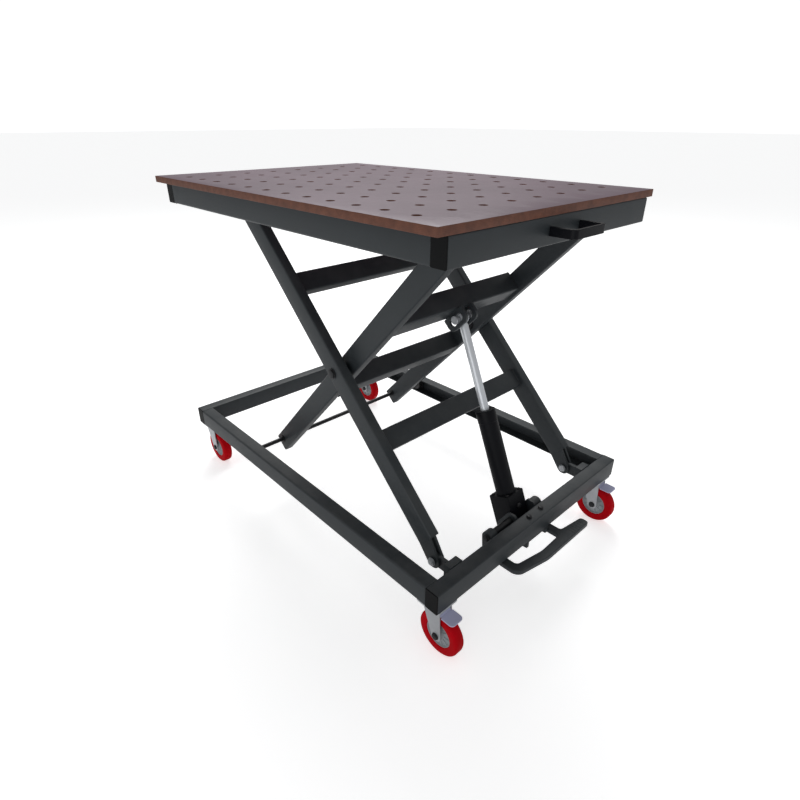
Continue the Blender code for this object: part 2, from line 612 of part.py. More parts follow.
# ---- casters -------------------------------------------------------------
def caster(label, x, y, brake):
    """Swivel caster: top plate, fork with its axle, moulded wheel and, in front, a foot brake."""
    plate_top = BASE_Z0 - GAP
    node("caster_plate_" + label, "zinc", box(x - 0.037, x + 0.037, y - 0.037, y + 0.037, plate_top - 0.005, plate_top))
    ax, az = x + TRAIL, WHEEL_R
    head = rod([(0.024, 0.1375), (0.030, 0.1420), (0.030, 0.1500), (0.025, plate_top - 0.005 - GAP)],
               (x, y, 0), (0, 0, 1), 20)
    legs = []
    for s in (-1, 1):
        pts = [(x - 0.024, 0.1430), (x - 0.022, 0.1250)] + arc(ax, az, 0.015, 190, 360, 8)
        pts += [(x + 0.034, 0.1200), (x + 0.030, 0.1430)]
        y0, y1 = sorted((y + s * 0.0195, y + s * 0.0225))
        legs.append(y_plate(pts, y0, y1))
    deck = box(x - 0.024, x + 0.020, y - 0.0225, y + 0.0225, 0.1360, 0.1430)
    axle = y_rod(ax, az, y - 0.026, y + 0.026, 0.006, 12)
    nuts = [y_rod(ax, az, y - 0.0285, y - 0.0220, 0.010, 6), y_rod(ax, az, y + 0.0220, y + 0.0285, 0.010, 6)]
    node("caster_fork_" + label, "zinc", head, add=[deck] + legs + [axle] + nuts, origin=(x, y, 0.150))
    bore = 0.006 + GAP
    wheel = lathe([(bore, -0.0190), (0.014, -0.0190), (0.018, -0.0130), (0.042, -0.0110), (0.046, -0.0150),
                   (0.058, -0.0160), (WHEEL_R, -0.0110), (WHEEL_R, 0.0110), (0.058, 0.0160), (0.046, 0.0150),
                   (0.042, 0.0110), (0.018, 0.0130), (0.014, 0.0190), (bore, 0.0190)],
                  (ax, y, az), (0, 1, 0), 24)
    node("caster_wheel_" + label, "tyre", wheel, origin=(ax, y, az), smooth=True)
    if brake:
        bx, bz = x + 0.0265, 0.1325
        barrel = y_rod(bx, bz, y - 0.0185, y + 0.0185, 0.004, 12)
        tongue = box(bx - 0.002, x + 0.042, y - 0.017, y + 0.017, 0.1315, 0.1350)
        tab = prism([(x + 0.036, y - 0.021, BRAKE_Z), (x + 0.062, y - 0.021, BRAKE_Z), (x + 0.070, y - 0.014, BRAKE_Z),
                     (x + 0.070, y + 0.014, BRAKE_Z), (x + 0.062, y + 0.021, BRAKE_Z), (x + 0.036, y + 0.021, BRAKE_Z)],
                    (0, 0, 0.0035))
        node("caster_brake_" + label, "zinc", tab, add=[tongue, barrel], origin=(bx, y, bz))


for end, cx in (("front", CASTER_X[0]), ("rear", CASTER_X[1])):
    for side, sy in (("near", -1), ("far", 1)):
        caster(end + "_" + side, cx, sy * CASTER_Y, end == "front")
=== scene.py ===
# %% [markdown]
# # A scissor lift table, finished for rendering
# The steel frame, arms and casters come from a measured model, which this script loads and never moves.
# Each step below says what a piece is on the real table, and then shapes its fine surface and its finish.

# %% Load the measured model
import json
import math

import bmesh
import bpy
from mathutils import Matrix, Vector


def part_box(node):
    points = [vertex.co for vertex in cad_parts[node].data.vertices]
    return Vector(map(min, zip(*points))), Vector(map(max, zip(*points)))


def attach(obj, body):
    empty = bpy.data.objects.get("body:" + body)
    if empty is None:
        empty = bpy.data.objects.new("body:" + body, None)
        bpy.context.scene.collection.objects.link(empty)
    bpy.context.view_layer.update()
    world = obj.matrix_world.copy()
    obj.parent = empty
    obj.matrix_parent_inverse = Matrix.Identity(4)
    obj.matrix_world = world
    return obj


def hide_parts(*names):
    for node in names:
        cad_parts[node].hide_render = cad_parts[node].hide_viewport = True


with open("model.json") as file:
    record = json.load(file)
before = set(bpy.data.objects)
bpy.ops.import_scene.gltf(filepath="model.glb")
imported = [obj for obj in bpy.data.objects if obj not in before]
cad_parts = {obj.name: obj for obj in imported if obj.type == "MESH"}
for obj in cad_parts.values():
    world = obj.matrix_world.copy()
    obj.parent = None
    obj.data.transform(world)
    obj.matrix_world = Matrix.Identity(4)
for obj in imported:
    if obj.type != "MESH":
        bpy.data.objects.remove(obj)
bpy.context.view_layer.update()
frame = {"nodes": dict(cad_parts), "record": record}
joints = {j["name"]: j for j in frame["record"]["behaviour"]["joints"]}

# %% [markdown]
# ## Where the pins are
# Everything on a scissor table is set out from its pins, so the pins are read from the joints first.
# The two arm directions follow from them, and every tube below is laid along one of those directions.

# %% Pins and arm directions
low_pin = Vector(joints["lift"]["pos_m"])
mid_pin = Vector(joints["inner_turn"]["pos_m"])
top_pin = Vector(joints["top_level"]["pos_m"])
foot_pin_at = Vector(joints["cylinder_tilt"]["pos_m"])
ARM_L = 2 * (mid_pin - low_pin).length
out_dir = (mid_pin - low_pin).normalized()
in_dir = (top_pin - mid_pin).normalized()
out_up = Vector((out_dir.z, 0, -out_dir.x))
in_up = Vector((-in_dir.z, 0, in_dir.x))
low_slide = mid_pin - in_dir * ARM_L / 2
top_slide = mid_pin + out_dir * ARM_L / 2
print("arm", round(ARM_L, 3), "m at", round(math.degrees(math.asin(in_dir.z)), 1), "degrees")
SIDES = (("near", -1), ("far", 1))
ENDS = ("front", "rear")


# %% [markdown]
# ## Camera and light
# The table stands in even, soft light on a pale floor, as in a catalogue. A wide lens close by gives the
# strong perspective of the board, and a large lamp above the far long side lifts the top faces from the
# side faces.

# %% Camera
CAMERA_AT = (1.1710, -1.0719, 1.1869)
CAMERA_ROUND, CAMERA_DOWN, CAMERA_ROLL = 46.878, 27.690, 0.099
LENS_MM, SENSOR_MM = 24.18, 36.0


def place_camera():
    cam = bpy.data.objects.new("camera", bpy.data.cameras.new("camera"))
    bpy.context.scene.collection.objects.link(cam)
    az, el, roll = (math.radians(a) for a in (CAMERA_ROUND, CAMERA_DOWN, CAMERA_ROLL))
    back = Vector((math.sin(az) * math.cos(el), -math.cos(az) * math.cos(el), math.sin(el)))
    right = Vector((math.cos(az), math.sin(az), 0))
    up = back.cross(right)
    turn = Matrix((right, up, back)).transposed() @ Matrix.Rotation(roll, 3, "Z")
    cam.matrix_world = Matrix.Translation(CAMERA_AT) @ turn.to_4x4()
    cam.data.sensor_width = SENSOR_MM
    cam.data.lens = LENS_MM
    cam.data.clip_end = 200.0
    bpy.context.scene.camera = cam
    return cam


camera = place_camera()
print("camera lens", round(camera.data.lens, 2))


# %% Floor, sky and lamps
SKY_LIGHT = 0.38
FLOOR_GLOW = 0.60
FLOOR_LIGHT = 0.14


def area_lamp(name, where, size, watts, aim=(0, 0, 0.5)):
    lamp = bpy.data.objects.new(name, bpy.data.lights.new(name, "AREA"))
    bpy.context.scene.collection.objects.link(lamp)
    lamp.data.size = size
    lamp.data.energy = watts
    lamp.location = where
    lamp.rotation_mode = "QUATERNION"
    lamp.rotation_quaternion = (Vector(aim) - Vector(where)).to_track_quat("-Z", "Y")
    return lamp


def set_stage():
    scene = bpy.context.scene
    scene.view_settings.view_transform = "Standard"
    world = bpy.data.worlds.new("studio")
    world.use_nodes = True
    sky = world.node_tree.nodes["Background"]
    sky.inputs["Color"].default_value = (0.98, 0.99, 1.0, 1.0)
    seen = world.node_tree.nodes.new("ShaderNodeLightPath")
    glow = world.node_tree.nodes.new("ShaderNodeMapRange")
    glow.inputs["To Min"].default_value = SKY_LIGHT
    glow.inputs["To Max"].default_value = 1.1
    world.node_tree.links.new(seen.outputs["Is Camera Ray"], glow.inputs["Value"])
    world.node_tree.links.new(glow.outputs["Result"], sky.inputs["Strength"])
    scene.world = world
    bm = bmesh.new()
    bmesh.ops.create_grid(bm, x_segments=1, y_segments=1, size=60.0)
    mesh = bpy.data.meshes.new("floor")
    bm.to_mesh(mesh)
    bm.free()
    floor = bpy.data.objects.new("floor", mesh)
    scene.collection.objects.link(floor)
    mat = bpy.data.materials.new("pale_floor")
    mat.use_nodes = True
    bsdf = mat.node_tree.nodes["Principled BSDF"]
    bsdf.inputs["Base Color"].default_value = (0.90, 0.90, 0.90, 1.0)
    bsdf.inputs["Roughness"].default_value = 0.85
    bsdf.inputs["Emission Color"].default_value = (1.0, 1.0, 1.0, 1.0)
    seen = mat.node_tree.nodes.new("ShaderNodeLightPath")
    lift = mat.node_tree.nodes.new("ShaderNodeMapRange")
    lift.inputs["To Min"].default_value = FLOOR_LIGHT
    lift.inputs["To Max"].default_value = FLOOR_GLOW
    mat.node_tree.links.new(seen.outputs["Is Camera Ray"], lift.inputs["Value"])
    mat.node_tree.links.new(lift.outputs["Result"], bsdf.inputs["Emission Strength"])
    mesh.materials.append(mat)
    area_lamp("key", (-2.4, 2.0, 4.4), 3.0, 150)
    area_lamp("fill", (1.4, -3.6, 0.7), 3.0, 24)


set_stage()
print("stage set")

# %% [markdown]
# ## Finishes
# Real paint, film and plating are never one flat colour. Three effects are shared: a fine grain that tilts
# the normal, worn edges that catch the light, and dust that settles on faces that look up. Each is a node
# group that only gives masks, colours and normals, and each material sets its own values for them.

# %% Helpers for node trees
def new_group(name, inputs, outputs):
    group = bpy.data.node_groups.new(name, "ShaderNodeTree")
    for label, kind, value in inputs:
        socket = group.interface.new_socket(name=label, in_out="INPUT", socket_type=kind)
        socket.default_value = value
    for label, kind in outputs:
        group.interface.new_socket(name=label, in_out="OUTPUT", socket_type=kind)
    return group, group.nodes.new("NodeGroupInput"), group.nodes.new("NodeGroupOutput")


def wire(tree, a, a_out, b, b_in):
    tree.links.new(a.outputs[a_out], b.inputs[b_in])


def maths(tree, kind, a, b=None, clamp=False):
    node = tree.nodes.new("ShaderNodeMath")
    node.operation = kind
    node.use_clamp = clamp
    for i, value in enumerate((a, b)):
        if value is None:
            continue
        if isinstance(value, (int, float)):
            node.inputs[i].default_value = value
        else:
            tree.links.new(value, node.inputs[i])
    return node.outputs[0]


def noise(tree, where, scale, detail=4.0, rough=0.55):
    node = tree.nodes.new("ShaderNodeTexNoise")
    node.inputs["Detail"].default_value = detail
    node.inputs["Roughness"].default_value = rough
    tree.links.new(where, node.inputs["Vector"])
    if isinstance(scale, (int, float)):
        node.inputs["Scale"].default_value = scale
    else:
        tree.links.new(scale, node.inputs["Scale"])
    return node.outputs["Fac"]


def spread(tree, value, low, high, to_low=0.0, to_high=1.0):
    node = tree.nodes.new("ShaderNodeMapRange")
    node.inputs["From Min"].default_value = low
    node.inputs["From Max"].default_value = high
    node.inputs["To Min"].default_value = to_low
    node.inputs["To Max"].default_value = to_high
    tree.links.new(value, node.inputs["Value"])
    return node.outputs["Result"]


def mixed(tree, factor, a, b):
    node = tree.nodes.new("ShaderNodeMix")
    node.data_type = "RGBA"
    tree.links.new(factor, node.inputs["Factor"])
    for socket, value in ((node.inputs["A"], a), (node.inputs["B"], b)):
        if isinstance(value, tuple):
            socket.default_value = value
        else:
            tree.links.new(value, socket)
    return node.outputs["Result"]


# %% Group: fine grain
def make_grain():
    group, given, out = new_group(
        "fine_grain",
        [("Scale", "NodeSocketFloat", 600.0), ("Depth", "NodeSocketFloat", 0.1)],
        [("Normal", "NodeSocketVector"), ("Mottle", "NodeSocketFloat")],
    )
    where = group.nodes.new("ShaderNodeTexCoord").outputs["Object"]
    bump = group.nodes.new("ShaderNodeBump")
    bump.inputs["Distance"].default_value = 0.0006
    wire(group, given, "Depth", bump, "Strength")
    group.links.new(noise(group, where, given.outputs["Scale"], 3.0), bump.inputs["Height"])
    wire(group, bump, "Normal", out, "Normal")
    group.links.new(spread(group, noise(group, where, 14.0, 5.0, 0.62), 0.3, 0.7), out.inputs["Mottle"])
    return group


# %% Group: worn edges
def make_edge_wear():
    group, given, out = new_group(
        "edge_wear",
        [("Width", "NodeSocketFloat", 0.002), ("Amount", "NodeSocketFloat", 0.5)],
        [("Mask", "NodeSocketFloat")],
    )
    where = group.nodes.new("ShaderNodeTexCoord").outputs["Object"]
    bevel = group.nodes.new("ShaderNodeBevel")
    bevel.samples = 4
    wire(group, given, "Width", bevel, "Radius")
    flat = group.nodes.new("ShaderNodeNewGeometry")
    dot = group.nodes.new("ShaderNodeVectorMath")
    dot.operation = "DOT_PRODUCT"
    wire(group, bevel, "Normal", dot, 0)
    wire(group, flat, "Normal", dot, 1)
    bend = maths(group, "SUBTRACT", 1.0, dot.outputs["Value"], clamp=True)
    near_edge = spread(group, bend, 0.02, 0.14)
    patchy = spread(group, noise(group, where, 55.0, 6.0, 0.7), 0.42, 0.62)
    mask = maths(group, "MULTIPLY", maths(group, "MULTIPLY", near_edge, patchy), given.outputs["Amount"],
                 clamp=True)
    group.links.new(mask, out.inputs["Mask"])
    return group


# %% Group: settled dust
def make_dust():
    group, given, out = new_group(
        "settled_dust",
        [("Amount", "NodeSocketFloat", 0.2)],
        [("Mask", "NodeSocketFloat")],
    )
    where = group.nodes.new("ShaderNodeTexCoord").outputs["Object"]
    split = group.nodes.new("ShaderNodeSeparateXYZ")
    wire(group, group.nodes.new("ShaderNodeNewGeometry"), "Normal", split, "Vector")
    facing_up = spread(group, split.outputs["Z"], 0.2, 1.0)
    clouds = spread(group, noise(group, where, 9.0, 7.0, 0.65), 0.35, 0.75)
    mask = maths(group, "MULTIPLY", maths(group, "MULTIPLY", facing_up, clouds), given.outputs["Amount"],
                 clamp=True)
    group.links.new(mask, out.inputs["Mask"])
    return group


grain_group, wear_group, dust_group = make_grain(), make_edge_wear(), make_dust()
print("groups", [g.name for g in (grain_group, wear_group, dust_group)])


# %% [markdown]
# ### Painted and plated metal
# Powder coat is a thin plastic skin with a fine orange-peel surface, a little lighter where edges are
# rubbed. Zinc and chrome are bare metal, so they are metallic and their roughness changes with handling
# marks.

# %% Metal and moulded finishes
def place_group(tree, group, **values):
    node = tree.nodes.new("ShaderNodeGroup")
    node.node_tree = group
    for label, value in values.items():
        node.inputs[label.replace("_", " ")].default_value = value
    return node


def coat(name, dark, light, worn, rough, metallic=0.0, grain=700.0, depth=0.12, wear=0.5, dust=0.15,
         gloss=0.5, width=0.002):
    """A finish with mottled colour, grain, worn edges and a trace of dust."""
    mat = bpy.data.materials.new(name)
    mat.use_nodes = True
    tree = mat.node_tree
    bsdf = tree.nodes["Principled BSDF"]
    fine = place_group(tree, grain_group, Scale=grain, Depth=depth)
    edges = place_group(tree, wear_group, Width=width, Amount=wear)
    settled = place_group(tree, dust_group, Amount=dust)
    skin = mixed(tree, fine.outputs["Mottle"], dark, light)
    rubbed = mixed(tree, edges.outputs["Mask"], skin, worn)
    colour = mixed(tree, settled.outputs["Mask"], rubbed, (0.30, 0.29, 0.27, 1.0))
    tree.links.new(colour, bsdf.inputs["Base Color"])
    shine = spread(tree, fine.outputs["Mottle"], 0.0, 1.0, rough - 0.05, rough + 0.05)
    tree.links.new(maths(tree, "ADD", shine, maths(tree, "MULTIPLY", settled.outputs["Mask"], 0.35),
                         clamp=True), bsdf.inputs["Roughness"])
    bsdf.inputs["Metallic"].default_value = metallic
    bsdf.inputs["Specular IOR Level"].default_value = gloss
    wire(tree, fine, "Normal", bsdf, "Normal")
    return mat


anthracite = coat("anthracite_coat", (0.024, 0.030, 0.034, 1), (0.033, 0.040, 0.045, 1),
                  (0.11, 0.12, 0.12, 1), 0.46, gloss=0.42)
satin_black = coat("satin_black", (0.0020, 0.0024, 0.0045, 1), (0.0045, 0.0050, 0.0075, 1),
                   (0.05, 0.05, 0.055, 1), 0.42, gloss=0.16, dust=0.04)
black_plug = coat("black_plug", (0.0025, 0.0030, 0.0035, 1), (0.0045, 0.0050, 0.0055, 1),
                  (0.03, 0.03, 0.03, 1), 0.55, grain=1400.0, depth=0.25, wear=0.3, gloss=0.14, dust=0.03)
nylon = coat("roller_nylon", (0.020, 0.020, 0.022, 1), (0.035, 0.035, 0.037, 1), (0.09, 0.09, 0.09, 1),
             0.45)
dark_steel = coat("blackened_steel", (0.016, 0.017, 0.019, 1), (0.032, 0.033, 0.036, 1),
                  (0.20, 0.20, 0.21, 1), 0.38, metallic=0.6, wear=0.6)
zinc = coat("bright_zinc", (0.46, 0.48, 0.50, 1), (0.60, 0.62, 0.65, 1), (0.74, 0.75, 0.77, 1), 0.36,
            metallic=0.45, grain=320.0, depth=0.10, dust=0.08)
print("metal finishes ready")

# %% [markdown]
# ### Chrome, film and polyurethane
# The piston rod is hard chrome, ground along its length, so its roughness has fine rings and its colour
# hardly changes; its brightness is a painted reflection, a near-white base colour with little metal. The
# board is plywood faced with a brown phenolic film: the film is satin and cloudy, and the sawn edges show
# the thin plies. The wheel treads are red polyurethane, a soft plastic with a dull shine.

# %% Board, chrome and wheel finishes
def film_face():
    mat = bpy.data.materials.new("film_face")
    mat.use_nodes = True
    tree = mat.node_tree
    bsdf = tree.nodes["Principled BSDF"]
    where = tree.nodes.new("ShaderNodeTexCoord").outputs["Object"]
    fine = place_group(tree, grain_group, Scale=900.0, Depth=0.10)
    settled = place_group(tree, dust_group, Amount=0.16)
    clouds = spread(tree, noise(tree, where, 3.2, 6.0, 0.6), 0.30, 0.70)
    base = mixed(tree, clouds, (0.108, 0.056, 0.082, 1.0), (0.140, 0.076, 0.108, 1.0))
    bsdf.inputs["Specular IOR Level"].default_value = 0.30
    stretch = tree.nodes.new("ShaderNodeMapping")
    stretch.inputs["Scale"].default_value = (2.0, 60.0, 2.0)
    tree.links.new(where, stretch.inputs["Vector"])
    streaks = spread(tree, noise(tree, stretch.outputs["Vector"], 6.0, 5.0, 0.6), 0.35, 0.75, 0.0, 0.45)
    streaked = mixed(tree, streaks, base, (0.185, 0.108, 0.140, 1.0))
    tree.links.new(mixed(tree, settled.outputs["Mask"], streaked, (0.30, 0.21, 0.26, 1.0)),
                   bsdf.inputs["Base Color"])
    tree.links.new(spread(tree, clouds, 0.0, 1.0, 0.30, 0.42), bsdf.inputs["Roughness"])
    wire(tree, fine, "Normal", bsdf, "Normal")
    return mat


def ply_edge():
    mat = bpy.data.materials.new("ply_edge")
    mat.use_nodes = True
    tree = mat.node_tree
    bsdf = tree.nodes["Principled BSDF"]
    where = tree.nodes.new("ShaderNodeTexCoord").outputs["Object"]
    split = tree.nodes.new("ShaderNodeSeparateXYZ")
    tree.links.new(where, split.inputs["Vector"])
    drift = maths(tree, "MULTIPLY", noise(tree, where, 30.0, 3.0, 0.5), 0.0012)
    height = maths(tree, "ADD", split.outputs["Z"], drift)
    plies = maths(tree, "ABSOLUTE", maths(tree, "SINE", maths(tree, "MULTIPLY", height, math.pi / 0.0028)))
    stain = mixed(tree, spread(tree, noise(tree, where, 45.0, 6.0, 0.65), 0.35, 0.65),
                  (0.115, 0.036, 0.018, 1.0), (0.190, 0.064, 0.032, 1.0))
    layered = mixed(tree, spread(tree, plies, 0.0, 0.35, 0.55, 0.0), stain, (0.060, 0.020, 0.012, 1.0))
    tree.links.new(layered, bsdf.inputs["Base Color"])
    bsdf.inputs["Roughness"].default_value = 0.55
    bump = tree.nodes.new("ShaderNodeBump")
    bump.inputs["Strength"].default_value = 0.25
    bump.inputs["Distance"].default_value = 0.0005
    tree.links.new(plies, bump.inputs["Height"])
    wire(tree, bump, "Normal", bsdf, "Normal")
    return mat


film, ply = film_face(), ply_edge()
brake_grey = coat("brake_grey", (0.560, 0.570, 0.800, 1), (0.640, 0.650, 0.860, 1), (0.66, 0.66, 0.74, 1),
                  0.42, metallic=0.10, grain=500.0, depth=0.08, wear=0.35, dust=0.12)
# Painted reflection: the rod's near-white base colour with little metal stands in for the chrome's bright
# reflection.
chrome_painted_reflection = coat("hard_chrome_painted_reflection", (0.84, 0.88, 0.93, 1), (0.90, 0.93, 0.96, 1), (0.92, 0.93, 0.95, 1), 0.18,
              metallic=0.30, grain=2400.0, depth=0.04, wear=0.1, dust=0.04)
tread_red = coat("tread_red", (0.500, 0.000, 0.004, 1), (0.590, 0.001, 0.008, 1), (0.60, 0.02, 0.03, 1),
                 0.60, grain=500.0, depth=0.10, wear=0.10, dust=0.01, gloss=0.06)
hub_grey = coat("hub_grey", (0.330, 0.360, 0.380, 1), (0.410, 0.440, 0.460, 1), (0.52, 0.53, 0.54, 1), 0.50,
                grain=900.0, depth=0.15, wear=0.4, dust=0.10)
print("board and wheel finishes ready")

# %% [markdown]
# ## Tools for shaping
# Nearly every piece is a tube, a bar, a turned part, a plate with round ends or a hexagon. Each helper
# starts from one small face or outline, and an operator sweeps, spins or wraps it into a closed solid.

# %% Tubes and bars
def between(a, b, up):
    """Placing matrix: local Z runs from a to b, and local X leans towards up."""
    along = (Vector(b) - Vector(a)).normalized()
    rise = Vector(up)
    rise = (rise - along * rise.dot(along)).normalized()
    return Matrix.Translation(a) @ Matrix((rise, along.cross(rise), along)).transposed().to_4x4()


def swept(bm, depth):
    """The flat faces of bm, drawn out into a solid along Z."""
    out = bmesh.ops.extrude_face_region(bm, geom=bm.faces[:])
    moved = [v for v in out["geom"] if isinstance(v, bmesh.types.BMVert)]
    bmesh.ops.translate(bm, verts=moved, vec=(0, 0, depth))
    return bm


def flat_face(points):
    """One flat face through the points, and its corners keep their order."""
    bm = bmesh.new()
    bm.faces.new([bm.verts.new((x, y, 0)) for x, y in points])
    bm.verts.ensure_lookup_table()
    return bm


def round_corners(bm, corners, radius, steps):
    bmesh.ops.bevel(bm, geom=corners, offset=radius, segments=steps, profile=0.5, affect="VERTICES",
                    material=-1)


def bar(a, b, up, high, wide, wall=0.0, corner=0.003, steps=4):
    """A straight bar, or a tube if it has a wall, with rounded corners along it."""
    bm = bmesh.new()
    bmesh.ops.create_grid(bm, x_segments=1, y_segments=1, size=0.5)
    bmesh.ops.scale(bm, vec=(high, wide, 1), verts=bm.verts)
    round_corners(bm, bm.verts[:], corner, steps)
    if wall:
        rim = bmesh.ops.inset_region(bm, faces=bm.faces[:], thickness=wall, use_even_offset=True,
                                     use_boundary=True)["faces"]
        bmesh.ops.delete(bm, geom=[f for f in bm.faces if f not in rim], context="FACES_ONLY")
    swept(bm, (Vector(b) - Vector(a)).length)
    bm.transform(between(a, b, up))
    return bm


def outline(points, corner, steps=4, sharp=()):
    """A flat outline as one face, with its corners rounded, except those listed as sharp."""
    bm = flat_face(points)
    soft = [v for i, v in enumerate(bm.verts) if i not in sharp]
    round_corners(bm, soft, corner, steps)
    return bm


# %% Turned parts, plates and hexagons
def turned(profile, centre, axis, steps=48, ring=False):
    """A solid of revolution: (radius, along) steps, closed into a ring if it has a bore."""
    bm = bmesh.new()
    line = [bm.verts.new((r, 0, h)) for r, h in profile]
    edges = [bm.edges.new(pair) for pair in zip(line, line[1:])]
    if ring:
        edges.append(bm.edges.new((line[-1], line[0])))
    bmesh.ops.spin(bm, geom=line + edges, cent=(0, 0, 0), axis=(0, 0, 1), dvec=(0, 0, 0), angle=2 * math.pi,
                   steps=steps, use_merge=True, use_duplicate=False)
    bmesh.ops.remove_doubles(bm, verts=bm.verts, dist=1e-6)
    aim = Vector((0, 0, 1)).rotation_difference(Vector(axis)).to_matrix().to_4x4()
    bm.transform(Matrix.Translation(centre) @ aim)
    return bm


def disc(radius, thick, at, axis, steps=48):
    """A round plate that stands on a point."""
    return turned([(0, 0), (radius, 0), (radius, thick), (0, thick)], at, axis, steps)


def plain_ring(bore, radius, thick, at, axis, steps=48):
    """A washer, clip, collar or sleeve that stands on a point."""
    return turned([(bore, 0), (radius, 0), (radius, thick), (bore, thick)], at, axis, steps, ring=True)


def wrapped(rounds, y0, y1):
    """A plate across Y, wrapped tightly round circles given as (x, z, radius)."""
    bm = bmesh.new()
    for x, z, radius in rounds:
        for y in (y0, y1):
            place = Matrix.Translation((x, y, z)) @ Matrix.Rotation(math.pi / 2, 4, "X")
            bmesh.ops.create_circle(bm, cap_ends=False, segments=32, radius=radius, matrix=place)
    hull = bmesh.ops.convex_hull(bm, input=bm.verts[:], use_existing_faces=False)
    spare = [v for v in bm.verts if not v.link_faces]
    bmesh.ops.delete(bm, geom=spare, context="VERTS")
    loose = [e for e in bm.edges if not e.link_faces]
    bmesh.ops.delete(bm, geom=loose, context="EDGES")
    bmesh.ops.dissolve_limit(bm, angle_limit=0.02, verts=bm.verts[:], edges=bm.edges[:])
    return bm


def hexagon(centre, axis, across, height, turn=0.0):
    """A hexagonal nut or bolt head standing on centre, with a turned-off top."""
    bm = bmesh.new()
    radius = across / math.sqrt(3)
    bmesh.ops.create_cone(bm, cap_ends=True, segments=6, radius1=radius, radius2=radius, depth=height,
                          matrix=Matrix.Translation((0, 0, height / 2)) @ Matrix.Rotation(turn, 4, "Z"))
    top = [e for e in bm.edges if all(v.co.z > height * 0.9 for v in e.verts)]
    bmesh.ops.bevel(bm, geom=top, offset=height * 0.14, segments=2, profile=0.5, affect="EDGES",
                    material=-1)
    aim = Vector((0, 0, 1)).rotation_difference(Vector(axis)).to_matrix().to_4x4()
    bm.transform(Matrix.Translation(centre) @ aim)
    return bm


def round_bar(a, b, radius, steps=32, chamfer=0.0008):
    length = (Vector(b) - Vector(a)).length
    profile = [(0, 0), (radius - chamfer, 0), (radius, chamfer), (radius, length - chamfer),
               (radius - chamfer, length), (0, length)]
    return turned(profile, a, Vector(b) - Vector(a), steps)


# %% Putting a piece into the scene
def piece(name, solids, mats, body, stands_for=(), soft=0.0006, steps=2, paint=None):
    """Joins solids into one object that rides on a body, with its edges softened."""
    bm = bmesh.new()
    for solid in solids:
        spare = bpy.data.meshes.new("spare")
        solid.to_mesh(spare)
        solid.free()
        bm.from_mesh(spare)
        bpy.data.meshes.remove(spare)
    bmesh.ops.recalc_face_normals(bm, faces=bm.faces)
    if paint:
        paint(bm)
    mesh = bpy.data.meshes.new(name)
    bm.to_mesh(mesh)
    bm.free()
    for mat in (mats if isinstance(mats, tuple) else (mats,)):
        mesh.materials.append(mat)
    mesh.shade_smooth()
    mesh.set_sharp_from_angle(angle=math.radians(32))
    obj = bpy.data.objects.new(name, mesh)
    bpy.context.scene.collection.objects.link(obj)
    if soft:
        edge = obj.modifiers.new("soft_edges", "BEVEL")
        edge.width = soft
        edge.segments = steps
        edge.limit_method = "ANGLE"
        edge.angle_limit = math.radians(35)
        edge.harden_normals = True
    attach(obj, body)
    if stands_for:
        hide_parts(*stands_for)
    return obj


def painted(name, solids, body, stands_for=(), soft=0.0006, steps=2):
    """A piece in the frame's own paint."""
    return piece(name, solids, anthracite, body, stands_for, soft, steps)


print("helpers ready")

# %% [markdown]
# ## The board
# The top is an 18 mm film-faced plywood board with twelve by eight round holes, 20 mm across, that take
# clamps and stops. Each hole is made as one cell: a short tube of six loops is drawn out, and its loops are
# then placed, from the square outside to the chamfer, the bore and back. Drawing out keeps every point
# opposite its own neighbour, so no face can twist. Cells side by side share their outer points, and merging
# them gives one board. The outer edges are rounded by one millimetre in three steps, as a sawn and sanded
# edge is.

# %% Board with its holes
low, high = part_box("board")
HOLE_R, CHAMFER, PITCH_X, PITCH_Y = 0.010, 0.0008, 0.089, 0.097
EDGE_R = 0.001  # rounding of the board's outer edges


def extruded(bm, edges):
    """Draws edges out by one step, and gives the new edges and the new points."""
    fresh = bmesh.ops.extrude_edge_only(bm, edges=edges)["geom"]
    return ([g for g in fresh if isinstance(g, bmesh.types.BMEdge)],
            [g for g in fresh if isinstance(g, bmesh.types.BMVert)])


def hole_cell(bm, x, y, x0, x1, y0, y1):
    chamfered = HOLE_R + CHAMFER
    levels = ((high.z, None), (high.z, chamfered), (high.z - CHAMFER, HOLE_R),
              (low.z + CHAMFER, HOLE_R), (low.z, chamfered), (low.z, None))
    cell = bmesh.new()
    bmesh.ops.create_circle(cell, cap_ends=False, segments=32, radius=1.0)
    edges = cell.edges[:]
    for _ in levels[1:]:
        edges, points = extruded(cell, edges)
        bmesh.ops.translate(cell, verts=points, vec=(0, 0, -1))
    for v in cell.verts:
        z, radius = levels[round(-v.co.z)]
        if radius:
            v.co = (x + radius * v.co.x, y + radius * v.co.y, z)
        else:
            reach = max(abs(v.co.x), abs(v.co.y))
            v.co = ((x0 + x1) / 2 + (x1 - x0) / 2 * v.co.x / reach,
                    (y0 + y1) / 2 + (y1 - y0) / 2 * v.co.y / reach, z)
    spare = bpy.data.meshes.new("spare")
    cell.to_mesh(spare)
    cell.free()
    bm.from_mesh(spare)
    bpy.data.meshes.remove(spare)


